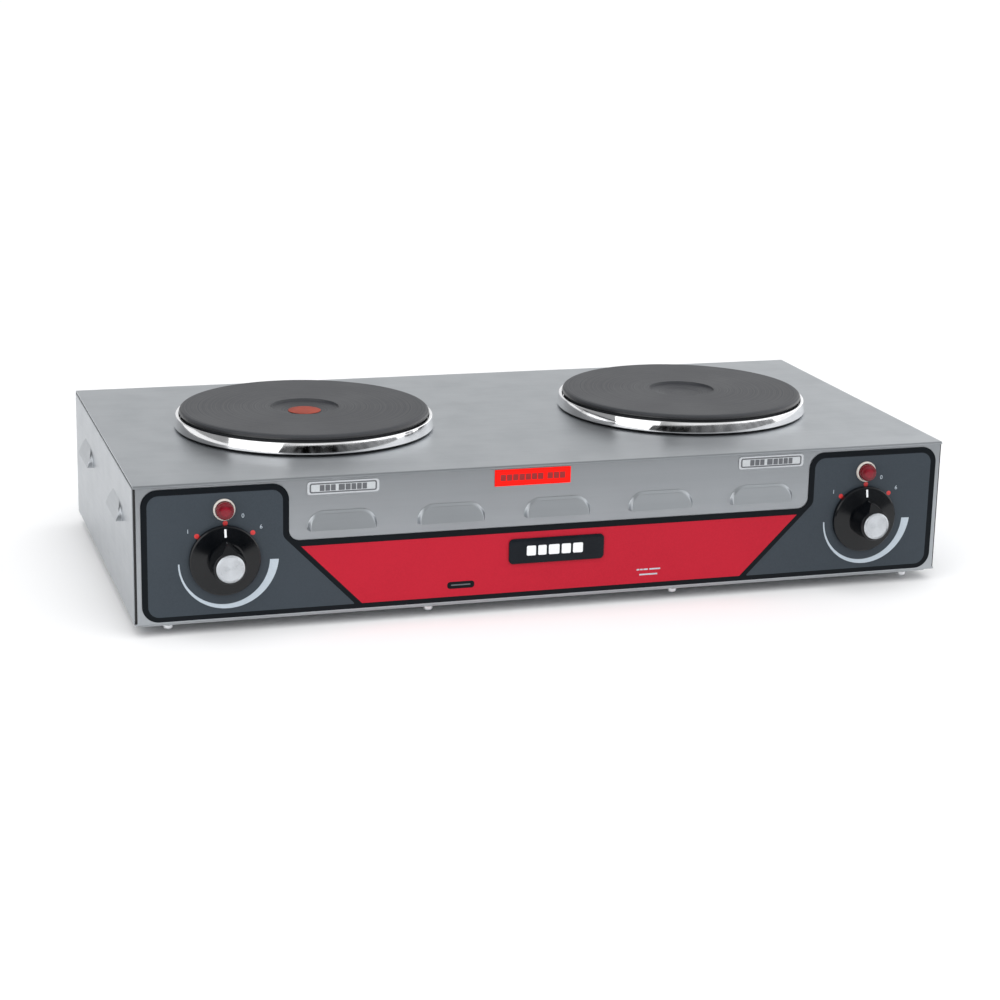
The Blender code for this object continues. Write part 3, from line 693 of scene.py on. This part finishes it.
def make_side(name, place):
    """A side panel as a shallow tray, its flanges inwards."""
    half = (BACK_Y - FRONT_Y) / 2 - SIDE_SHORT
    bm = bmesh.new()
    put_box(bm, (-half, SIDE_FOOT, -SIDE_FLANGE), (half, TOP_Z - LIFT - SIDE_HEAD, 0))
    bmesh.ops.delete(bm, context="FACES_ONLY", geom=[f for f in bm.faces if f.normal.z < -0.5])
    folds = [e for e in bm.edges if len(e.link_faces) == 2]
    bmesh.ops.bevel(bm, geom=folds, offset=0.7 * MM, segments=5, affect="EDGES", profile=0.5)
    panel = take_face(bm, Vector((0, 0, 1)))
    fill(bm, panel, [add_hood(bm, WORLD, x, inset=0.4) for x in SIDE_LOUVRES])
    mesh = mesh_from(name, bm)
    weigh(thicken(piece(name + "_sheet", mesh, STEEL, place, stands_for=[name])))


def make_corner_shade_strip(name, sign):
    """A dark strip put in the seam between the wrap's front and a side panel, as painted shade for the shadow
    in that gap.
    """
    inner, outer = sorted(sign * (SIDE_X - inset) for inset in (0.9 * MM, 4.0 * MM))
    near, far = FRONT_Y + 1.3 * MM, FRONT_Y + 2.7 * MM
    bm = bmesh.new()
    put_box(bm, (inner, near, LIFT + 1.5 * MM), (outer, far, TOP_Z - 2.2 * MM))
    piece(name, mesh_from(name, bm), RUBBER)


make_wrap()
make_side("left_side_panel", LEFT)
make_side("right_side_panel", RIGHT)
# Painted shade: dark strips stand for the shadow in each front corner seam
make_corner_shade_strip("left_corner_shade_strip", -1)
make_corner_shade_strip("right_corner_shade_strip", 1)

# --------------------------------------------------------------------------- underside

FOOT_XY = [(sx * 262.0, MID_Y / MM + sy * 112.0) for sx in (-1, 1) for sy in (-1, 1)]
SCREW_NODES = ["front_pan_screw_%d" % i for i in range(1, 5)] + ["rear_pan_screw_%d" % i for i in range(1, 3)]
SCREW_XY = [centre(node).xy / MM for node in SCREW_NODES]
GROUND_XY = centre("ground_screw").xy / MM
PAN_LOW, PAN_HIGH = -1.3, -0.3                     # below the cabinet's bottom edge
SLOT_PITCH = 14

pan_holes = [disc(2.1, xy, 24) for xy in SCREW_XY]
pan_holes += [disc(2.3, xy, 24) for xy in FOOT_XY + [tuple(GROUND_XY)]]
for x in PLATE_CENTRES:
    pan_holes += [rectangle(70, 5, 2.49, (x / MM, MID_Y / MM + SLOT_PITCH * i)) for i in range(-3, 4)]
pan_line = rectangle(606, 299, 4, (0, MID_Y / MM))
pan = slab("bottom_pan_sheet", pan_line, PAN_LOW, PAN_HIGH, pan_holes)
weigh(piece("bottom_pan_sheet", pan, STEEL, UNDER, stands_for=["bottom_pan"]))

FOOT_PROFILE = [(2.4, -1.6), (10.8, -1.6), (9.2, -9), (5.2, -9), (5.2, -5), (2.4, -5)]


def screw(name, head_r, head_h, shank_r, length, head_from, xy):
    """A pan-head screw, head down, with a cross recess."""
    low, tip = head_from - head_h, head_from + length
    crown = head_h * 0.62
    dome = [(head_r * cos(a), low + crown - crown * sin(a)) for a in (radians(9 * k) for k in range(10))]
    shank = [(0, tip), (shank_r - 0.4, tip), (shank_r, tip - 0.6), (shank_r, head_from)]
    profile = shank + [(head_r, head_from)] + dome + [(0, low)]
    place = UNDER @ Matrix.Translation((xy[0] * MM, xy[1] * MM, 0))
    obj = turned(name + "_part", profile, 40, ZINC, place, name, "zinc_steel", sharp=40)
    arm, wide, deep = head_r * 0.62, head_r * 0.15, head_h * 0.62
    bm = bmesh.new()
    for turn in (0, pi / 2):
        cross = Matrix.Rotation(turn + 0.4, 4, "Z")
        corners = [(-arm, -wide), (arm, -wide), (arm, wide), (-arm, wide)]
        add_prism(
            bm, [cross @ Vector((x * MM, y * MM, (low - 0.5) * MM)) for x, y in corners],
            [cross @ Vector((x * 0.35 * MM, y * MM, (low + deep) * MM)) for x, y in corners],
        )
    cutter = bpy.data.objects.new(name + "_cross", mesh_from(name + "_cross", bm, weld=0))
    scene.collection.objects.link(cutter)
    cutter.matrix_world = place
    modifier = obj.modifiers.new("cross", "BOOLEAN")
    modifier.operation, modifier.solver, modifier.object = "DIFFERENCE", "EXACT", cutter
    modifier.use_self = True
    obj.data = apply_modifiers(obj)
    bpy.data.objects.remove(cutter)


foot_line = softened(FOOT_PROFILE, 0.9, 4, closed=True)
for corner, xy in zip(("left_front", "left_rear", "right_front", "right_rear"), FOOT_XY):
    place = UNDER @ Matrix.Translation((xy[0] * MM, xy[1] * MM, 0))
    node = corner + "_foot"
    turned(node + "_rubber", foot_line, 56, RUBBER, place, node, "foot_rubber", closed=True)
    screw(node + "_screw", head_r=4.2, head_h=2.4, shank_r=2.0, length=12, head_from=-5.3, xy=xy)
for node, xy in zip(SCREW_NODES, SCREW_XY):
    screw(node, head_r=3.6, head_h=3.6, shank_r=1.8, length=9, head_from=-1.6, xy=xy)

# ------------------------------------------------------------------------------ plates

# Radius and height above the cabinet's top
PLATE_PROFILE = [
    (0, 11.2), (13.2, 11.2), (25.6, 13.1), (26.1, 14.6), (26.3, 14.7), (91.2, 14.7), (93.0, 14.4),
    (94.1, 13.6), (94.7, 12.5), (95.0, 11.6), (94.6, 11.0), (93.2, 10.9), (93.2, 1.4), (87, 1.4), (87, -8),
    (80, -8), (80, 4), (14, 4), (14, -14), (3.3, -14), (3.3, -2), (0, -2),
]
MARKER_PROFILE = [(0, 11.8), (11.8, 11.8), (12.3, 11.72), (12.5, 11.5), (0, 11.5)]
RING_PROFILE = [                                   # with each corner's rounding
    (95.2, 9.95, 0.1), (97.4, 9.9, 0.6), (98.6, 1.7, 0.25), (97.6, 0.9, 0.2), (93.8, 0.3, 0.2),
    (89.2, 0.3, 0), (89.2, 1.1, 0), (94.2, 1.1, 0.2), (96.6, 1.7, 0.2), (97.4, 2.8, 0.2), (96.4, 9.0, 0.2),
    (95.2, 9.5, 0.1),
]
plate_line = softened(PLATE_PROFILE, 0.5, 3)
ring_line = [(p.x, p.y) for p in rounded(RING_PROFILE, 5)]

for side, x in zip(("left", "right"), PLATE_CENTRES):
    seat = Matrix.Translation((x, MID_Y, TOP_Z))
    weigh(turned(
        side + "_plate_casting", plate_line, 144, IRON, seat, side + "_plate", "cast_iron", sharp=50,
    ))
    turned(
        side + "_ring_chromed", ring_line, 180, CHROME, seat, side + "_spill_ring", "chrome",
        sharp=60, closed=True,
    )
seat = Matrix.Translation((PLATE_CENTRES[0], MID_Y, TOP_Z))
turned("left_marker_spot", MARKER_PROFILE, 72, MARKER, seat, "left_plate_marker", "red_enamel")

# --------------------------------------------------------------------- overlay and print

FILM_LOW, FILM_HIGH = 0.3, 0.6                     # mm in front of the sheet
INK = 0.03                                         # thickness of one printed layer
LAYERS = [FILM_HIGH + i * INK for i in range(4)]   # the film's face, then the top of each layer of print
KNOB_AT = KNOBS["right"].x / MM, (KNOBS["right"].z - LIFT) / MM
PILOT_AT = PILOTS["right"].x / MM, (PILOTS["right"].z - LIFT) / MM


def printed(name, outline, layer, material, place=FRONT, holes=()):
    """A flat print, as one of the layers on the film."""
    piece(name, slab(name, outline, LAYERS[layer - 1], LAYERS[layer], holes), material, place)


def printed_group(name, outlines, layer, material, place=FRONT):
    """Several small prints of one ink, as one piece."""
    piece(name, slabs(name, outlines, LAYERS[layer - 1], LAYERS[layer]), material, place)


def control_holes(sign):
    """Clearance round the switch bush and the pilot lamp on one side."""
    return [disc(6.2, (sign * KNOB_AT[0], KNOB_AT[1])), disc(6.9, (sign * PILOT_AT[0], PILOT_AT[1]))]


OVERLAY = [
    (-302.5, 2.3, 12), (302.5, 2.3, 12), (302.5, 97.9, 12), (198.3, 97.9, 12), (198.3, 55.6, 8),
    (-198.3, 55.6, 8), (-198.3, 97.9, 12), (-302.5, 97.9, 12),
]
holes = control_holes(-1) + control_holes(1)
overlay = slab("overlay_film", rounded(OVERLAY, 16), FILM_LOW, FILM_HIGH, holes)
piece("overlay_film", overlay, BLACK_FILM, FRONT, stands_for=["control_overlay"])

PANEL = [                                          # right-hand charcoal panel
    (150.4, 5.8, 0.6), (298.2, 5.8, 8), (298.2, 93.6, 8), (202.7, 93.6, 8), (202.7, 59.1, 7),
]
BAND = [(-145.4, 6.0, 0), (145.4, 6.0, 0), (189.7, 51.1, 0), (-189.7, 51.1, 0)]
ARC_INNER = 32.0
ARC_MIDDLE = Vector((0.35, -0.6))


def mirrored(points, sign):
    """The outline as it is for the right side, or its mirror image for the left."""
    points = [Vector((p.x * sign, p.y)) for p in points]
    return points if sign > 0 else points[::-1]


def dial_arc(steps=60):
    """The growing arc under a knob, about the knob's axis."""
    first, last = radians(181.5), radians(358)
    thin, growth, power = 1.0, 5.4, 1.35
    angles = [first + (last - first) * k / steps for k in range(steps + 1)]
    outer = []
    for angle in angles:
        width = thin + growth * ((angle - pi) / pi) ** power
        outer.append(ARC_MIDDLE + Vector((cos(angle), sin(angle))) * (ARC_INNER + width))
    return outer + [ARC_MIDDLE + Vector((cos(a), sin(a))) * ARC_INNER for a in reversed(angles)]


def numeral(name, text, height, x, z, material):
    """A printed figure, its middle at (x, z) mm on the front."""
    curve = bpy.data.curves.new(name, "FONT")
    curve.body = text
    curve.size = height * MM / 0.7                 # a figure fills 0.7 of the font's size
    curve.extrude = INK / 2 * MM
    curve.align_x, curve.align_y = "CENTER", "CENTER"
    curve.resolution_u = 6
    guide = bpy.data.objects.new(name + "_guide", curve)
    scene.collection.objects.link(guide)
    mesh = apply_modifiers(guide)
    bpy.data.objects.remove(guide)
    mesh.name = name
    mesh.materials.clear()
    piece(name, mesh, material, on_front(x * MM, z * MM, (FILM_HIGH + 1.5 * INK) * MM))


printed("overlay_red_band", rounded(BAND), 1, RED_FILM)
NUMERAL_H = 3.0
# Offsets from the knob's axis
DIAL_MARKS = [("0", 13.3, 31.0), ("1", -25.5, 21.8), ("6", 26.1, 22.3)]
DOTS = [(-19.3, 18.2), (20.2, 18.4), (0.8, 26.4)]
for side, sign in (("left", -1), ("right", 1)):
    at = (sign * KNOB_AT[0], KNOB_AT[1])
    axis = on_front(at[0] * MM, at[1] * MM)
    panel_line = mirrored(rounded(PANEL, 14), sign)
    printed(side + "_overlay_panel", panel_line, 1, CHARCOAL_FILM, holes=control_holes(sign))
    printed(side + "_dial_arc", dial_arc(), 2, PALE_INK, axis)
    printed_group(side + "_dial_dots", [disc(1.75, p, 32) for p in DOTS], 2, RED_INK, axis)
    for text, x, z in DIAL_MARKS:
        numeral("%s_dial_%s" % (side, text), text, NUMERAL_H, at[0] + x, at[1] + z, PALE_INK)

printed("band_pill", rectangle(20.4, 5.3, 2.3, (-72.1, 14.5)), 2, BLACK_FILM)
printed("band_pill_bar", rectangle(14.6, 0.9, 0.4, (-72.1, 14.6)), 3, GREY_INK)


def blocks(groups, height, middle, gap=0.7, space=2.4, radius=0.3):
    """A run of plain blocks in place of lettering; groups hold the blocks' widths."""
    total = sum(sum(g) + gap * (len(g) - 1) for g in groups) + space * (len(groups) - 1)
    x = middle[0] - total / 2
    found = []
    for group in groups:
        for width in group:
            found.append(rectangle(width, height, radius, (x + width / 2, middle[1]), 3))
            x += width + gap
        x += space - gap
    return found


SMALL_PRINT = blocks([(2.2, 2.2, 3.4), (8.6,)], 1.1, (72.4, 16.4), 0.5, 1.2, 0.2)
SMALL_PRINT += blocks([(14.2,)], 1.1, (72.4, 12.5), 0.5, 1.2, 0.2)
printed_group("band_small_print", SMALL_PRINT, 2, PALE_INK)

# ---------------------------------------------------------------------- labels and badge

def label(name, node, outline, material):
    """The backing of a stuck-on label, as thick as the film."""
    mesh = slab(name, outline, FILM_LOW, FILM_HIGH)
    piece(name, mesh, material, FRONT, stands_for=[node])


for side, x, z in (("left", -159.4, 92.9), ("right", 166.7, 93.3)):
    node = side + "_rating_label"
    label(node + "_rim", node, rectangle(52, 9.4, 2.2, (x, z)), LABEL_RIM)
    printed(node + "_outline", rectangle(48.6, 7.2, 1.6, (x, z)), 1, GREY_INK)
    printed(node + "_face", rectangle(46.4, 5.2, 0.8, (x, z)), 2, LABEL_FACE)
    text = blocks([(3.4, 3.4, 3.4), (4.4, 3.6, 3.4, 3.4, 3.2)], 4.4, (x, z), 0.6, 2.2)
    printed_group(node + "_blocks", text, 3, GREY_INK)

orange_line = rectangle(57.4, 12.2, 0.5, (-19.3, 92.5))
label("orange_label_face", "hot_surface_label", orange_line, ORANGE_FACE)
text = blocks([(4.0,) * 7, (4.0,) * 3], 4.6, (-19.3, 92.6), 0.7, 3.2)
printed_group("orange_label_blocks", text, 1, ORANGE_INK)

BADGE_LOW, BADGE_HIGH = 0.9, 2.0
badge = slab("badge_plate", rectangle(72.8, 18.8, 3.4, (0, 37.0)), BADGE_LOW, BADGE_HIGH, soft=0.35)
piece("badge_plate", badge, BADGE, FRONT, stands_for=["blank_badge"])
text = blocks([(7.0, 6.4, 8.2, 7.0, 7.6)], 7.4, (-1.5, 37.2), 1.7, 0, 0.9)
text_mesh = slabs("badge_blocks", text, BADGE_HIGH, BADGE_HIGH + 2 * INK)
piece("badge_blocks", text_mesh, WHITE_INK, FRONT)

# ---------------------------------------------------------------------------- controls

GRIP_R, POINTER_R = 12.6, 16.0
GRIP_LEVELS = [                                    # height, and how far the outline is drawn in there
    (4.8, -0.5), (5.35, -0.12), (6.0, 0.0), (14.0, 0.42), (21.9, 0.86), (22.6, 1.0), (23.0, 1.35),
    (23.2, 1.9),
]
SKIRT_IN, SKIRT_OUT = (13.8, 6.8), (24.3, 4.85)    # the ends of the skirt's cone: radius, height
LINE_FROM, LINE_TO, LINE_HALF = 17.6, 23.3, 0.75   # the white index line on that cone

# Radius and height above the sheet
SKIRT_PROFILE = [
    (0, 6.8), SKIRT_IN, SKIRT_OUT, (25.2, 4.1), (25.2, 1.0), (23.8, 1.0), (23.2, 3.4), (11, 4.0), (0, 4.0),
]
CAP_PROFILE = [
    (0, 24.36), (8.5, 24.36), (8.75, 24.2), (9.0, 24.2), (9.25, 24.42), (9.6, 24.5), (10.0, 24.15),
    (10.0, 23.3), (2.5, 23.3), (2.5, 21.3), (0, 21.3),
]
BEZEL_PROFILE = [
    (0, -2), (5.2, -2), (5.2, 1.5), (6.5, 1.5), (6.5, 2.5), (6.75, 2.75), (7.3, 2.65), (7.75, 2.1),
    (7.8, 1.2), (7.8, 0.9), (6.3, 0.9), (6.3, -24), (0, -24),
]
LENS_PROFILE = [
    (0, 7.6), (2.4, 7.57), (3.2, 7.5), (3.6, 7.35), (5.2, 7.15), (5.8, 6.85), (6.15, 6.2), (6.2, 5.6),
    (6.2, 1.8), (0, 1.8),
]


def grip_outline(inset=0.0, tip=0.9):
    """The teardrop: a circle drawn out to a pointer at +Y, its tip slightly rounded."""
    radius, reach = GRIP_R - inset, POINTER_R - inset * 1.15
    spread = acos(radius / reach)
    steps = 56
    start = pi / 2 + spread
    turn = 2 * pi - 2 * spread
    angles = [start + turn * k / steps for k in range(steps + 1)]
    points = [Vector((radius * cos(a), radius * sin(a))) for a in angles]
    corner = rounded([(*points[-1], 0), (0, reach, tip), (*points[0], 0)], 6, closed=False)
    return points + corner[1:-1]


def make_grip(name):
    """The finger grip, with the top of its pointer cut off at a slope."""
    bm = bmesh.new()
    rows = []
    for height, inset in GRIP_LEVELS:
        rows.append([bm.verts.new((p.x * MM, p.y * MM, height * MM)) for p in grip_outline(inset)])
    for one, two in zip(rows, rows[1:]):
        for i in range(len(one)):
            j = (i + 1) % len(one)
            bm.faces.new([one[i], one[j], two[j], two[i]])
    bm.faces.new(rows[0])
    bm.faces.new(rows[-1])
    cut = bmesh.ops.bisect_plane(
        bm, geom=bm.verts[:] + bm.edges[:] + bm.faces[:], dist=1e-7,
        plane_co=(0, 9.8 * MM, 23.6 * MM), plane_no=(0, 13.7, 7.4), clear_outer=True,
    )["geom_cut"]
    rim = [g for g in cut if isinstance(g, bmesh.types.BMEdge)]
    bmesh.ops.contextual_create(bm, geom=rim)
    bmesh.ops.bevel(
        bm, geom=rim, offset=0.35 * MM, segments=3, affect="EDGES", profile=0.5, clamp_overlap=True,
    )
    return mesh_from(name, bm)


def index_line(name):
    """The white pointer line let into the skirt at twelve o'clock."""
    slope = (SKIRT_IN[1] - SKIRT_OUT[1]) / (SKIRT_OUT[0] - SKIRT_IN[0])
    corners = []
    for side, y in ((-1, LINE_FROM), (1, LINE_FROM), (1, LINE_TO), (-1, LINE_TO)):
        corners.append(Vector((side * LINE_HALF, y, SKIRT_IN[1] - (y - SKIRT_IN[0]) * slope + 0.05)))
    bm = bmesh.new()
    add_prism(bm, [(p - Vector((0, 0, 0.5))) * MM for p in corners], [p * MM for p in corners])
    return mesh_from(name, bm)


def fluted(r, h, angle):
    """Fine flutes round a pilot lens."""
    return 0.10 * cos(angle * 28) if 4.6 < r < 6.3 and h > 2.5 else 0.0


skirt_line = softened(SKIRT_PROFILE, 0.35, 4)
for side in ("left", "right"):
    axis = on_front(KNOBS[side].x, KNOBS[side].z - LIFT)
    body = side + "_control"
    weigh(turned(
        side + "_knob_skirt", skirt_line, 120, KNOB, axis, side + "_knob", "knob_black", body, sharp=45,
    ))
    grip = make_grip(side + "_knob_grip")
    weigh(piece(side + "_knob_grip", grip, KNOB, axis, body, sharp=40))
    piece(side + "_knob_line", index_line(side + "_knob_line"), WHITE_INK, axis, body)
    turned(
        side + "_cap_spun", CAP_PROFILE, 96, ALUMINIUM, axis, side + "_knob_cap", "aluminium", body, sharp=30,
    )
    seat = on_front(PILOTS[side].x, PILOTS[side].z - LIFT)
    turned(side + "_pilot_bezel", BEZEL_PROFILE, 64, BEZEL, seat, side + "_pilot_body", "pilot_bezel")
    turned(
        side + "_pilot_jewel", LENS_PROFILE, 168, LENS, seat, side + "_pilot_lens", "pilot_lens",
        sharp=60, ripple=fluted,
    )

# -------------------------------------------------------------------------- back inlet

gland_at = centre("cord_gland")
GLAND_PROFILE = [                                  # radius, and height above the back sheet
    (4.4, 12.5), (7.6, 12.5), (8.6, 11.5), (9.6, 6.5), (11.5, 5.8), (11.5, 0.3), (8.1, 0.3), (8.1, -9),
    (4.4, -9),
]
gland_line = softened(GLAND_PROFILE, 0.5, 3, closed=True)
seat = BACK @ Matrix.Translation((-gland_at.x, gland_at.z - LIFT, 0))
turned("gland_moulding", gland_line, 64, GLAND, seat, "cord_gland", "gland_plastic", closed=True)

# ---------------------------------------------------------------- carried-over CAD nodes

CARRIED = {
    "_plate_stud": ZINC, "_clamp_bar": ZINC, "_clamp_nut": ZINC, "_terminal_ceramic": CERAMIC,
    "_switch_shaft": ZINC, "_switch_cam": NYLON, "_switch_body": MOULDING, "_switch_nut": ZINC,
    "_switch_lead": SILICONE, "_pilot_clip": ZINC, "gland_locknut": GLAND, "supply_terminal_block": GLAND,
    "ground_screw": BRASS,
}
for name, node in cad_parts.items():
    for ending, material in CARRIED.items():
        if name.endswith(ending):
            node.data.materials.clear()
            node.data.materials.append(material)

# -------------------------------------------------------------------- floor, light, camera

def quad(name, corners):
    """One flat stage face, without a material."""
    mesh = bpy.data.meshes.new(name)
    mesh.from_pydata(corners, [], [(0, 1, 2, 3)])
    obj = bpy.data.objects.new(name, mesh)
    scene.collection.objects.link(obj)
    return obj


def aim(lamp, direction):
    lamp.rotation_mode = "QUATERNION"
    lamp.rotation_quaternion = Vector(direction).to_track_quat("-Z", "Y")


FLOOR_REACH = 30
floor = quad("studio_floor", [
    (-FLOOR_REACH, -FLOOR_REACH, 0), (FLOOR_REACH, -FLOOR_REACH, 0), (FLOOR_REACH, FLOOR_REACH, 0),
    (-FLOOR_REACH, FLOOR_REACH, 0),
])
paper = Nodes("floor_paper")
paper_tint = paper.mix(paper.noise(3.0, 2.0), (0.885, 0.885, 0.89), (0.905, 0.905, 0.91))
floor.data.materials.append(paper.set(paper_tint, 0.8))

# Soft light from above, which reflections do not see
sun = bpy.data.lights.new("overhead", "SUN")
sun.energy, sun.angle = 2.0, radians(75)
overhead = bpy.data.objects.new("overhead", sun)
aim(overhead, (0.15, 0.35, -0.92))
overhead.visible_glossy = False
scene.collection.objects.link(overhead)

# A large softbox at the front left, which draws the highlight on the chromed rings
KEY_PLACE, KEY_TARGET = Vector((-1.19, -0.74, 0.60)), Vector((0, 0, 0.1))
key = bpy.data.lights.new("key_left", "AREA")
key.shape = "RECTANGLE"
key.size, key.size_y = 1.3, 1.15
key.energy = 6.5
key_left = bpy.data.objects.new("key_left", key)
key_left.location = KEY_PLACE
aim(key_left, KEY_TARGET - KEY_PLACE)
scene.collection.objects.link(key_left)

# A black flag that only reflections see, leaning away in front of the object
FLAG_LEFT, FLAG_RIGHT = -0.56, 2.2
FLAG_FOOT, FLAG_HEAD = (-0.55, 0.001), (-0.72, 0.21)  # y and z of its lower and upper edge
flag = quad("studio_flag", [
    (FLAG_LEFT, *FLAG_FOOT), (FLAG_RIGHT, *FLAG_FOOT), (FLAG_RIGHT, *FLAG_HEAD), (FLAG_LEFT, *FLAG_HEAD),
])
cloth = Nodes("flag_cloth")
across_flag = cloth.node("ShaderNodeSeparateXYZ")
cloth.link(cloth.place, across_flag.inputs[0])
folds = cloth.span(cloth.noise((9, 2, 2), 3.0), -0.03, 0.08, 0.35, 0.65)
glow = cloth.maths("ADD", cloth.span(across_flag.outputs["X"], 0.02, 0.26, -0.05, 0.75), folds, clamp=True)
cloth.set((0.0, 0.0, 0.0), 1.0, Specular_IOR_Level=0.0)
cloth.shader.inputs["Emission Color"].default_value = (0.95, 0.97, 1.0, 1.0)
cloth.link(glow, cloth.shader.inputs["Emission Strength"])
flag.data.materials.append(cloth.material)
for kind in ("camera", "diffuse", "transmission", "volume_scatter", "shadow"):
    setattr(flag, "visible_" + kind, False)

# A pale room: dimmer overhead and on the far left, brighter on the right
world = bpy.data.worlds.new("studio")
scene.world = world
world.use_nodes = True
tree = world.node_tree
background = tree.nodes["Background"]
coordinates = tree.nodes.new("ShaderNodeTexCoord")
split = tree.nodes.new("ShaderNodeSeparateXYZ")
tree.links.new(coordinates.outputs["Generated"], split.inputs[0])


def world_span(socket, start, end, low, high):
    """A smooth change of brightness along one axis of the direction looked in."""
    node = tree.nodes.new("ShaderNodeMapRange")
    node.interpolation_type = "SMOOTHSTEP"
    for name, number in (("From Min", start), ("From Max", end), ("To Min", low), ("To Max", high)):
        node.inputs[name].default_value = number
    tree.links.new(split.outputs[socket], node.inputs["Value"])
    return node.outputs["Result"]


def product(first, second):
    """One brightness times another."""
    node = tree.nodes.new("ShaderNodeMath")
    node.operation = "MULTIPLY"
    tree.links.new(first, node.inputs[0])
    tree.links.new(second, node.inputs[1])
    return node.outputs[0]


far_left = world_span("X", -0.75, -0.10, 0.36, 1.0)
far_right = world_span("X", 0.30, 0.80, 1.0, 1.8)
upward_light = world_span("Z", 0.30, 0.75, 0.95, 0.48)
tree.links.new(product(upward_light, product(far_left, far_right)), background.inputs["Strength"])
background.inputs["Color"].default_value = (0.985, 0.993, 1.0, 1.0)

AZIMUTH, ELEVATION, ROLL = radians(-17.36), radians(15.39), radians(1.30)
TARGET = Vector((-0.0153, FRONT_Y + 0.09072, LIFT + 0.050))
DISTANCE = 1.79401
SENSOR_WIDTH, FOCAL_LENGTH = 36, 84.83
back = Vector((sin(AZIMUTH) * cos(ELEVATION), -cos(AZIMUTH) * cos(ELEVATION), sin(ELEVATION)))
right = (-back).cross(Vector((0, 0, 1))).normalized()
up = right.cross(-back)
across = right * cos(ROLL) + up * sin(ROLL)
upward = up * cos(ROLL) - right * sin(ROLL)
camera_data = bpy.data.cameras.new("camera")
camera_data.sensor_width = SENSOR_WIDTH
camera_data.lens = FOCAL_LENGTH
camera = bpy.data.objects.new("camera", camera_data)
eye = TARGET + back * DISTANCE
camera.matrix_world = Matrix((
    (across.x, upward.x, back.x, eye.x),
    (across.y, upward.y, back.y, eye.y),
    (across.z, upward.z, back.z, eye.z),
    (0, 0, 0, 1),
))
scene.collection.objects.link(camera)
scene.camera = camera
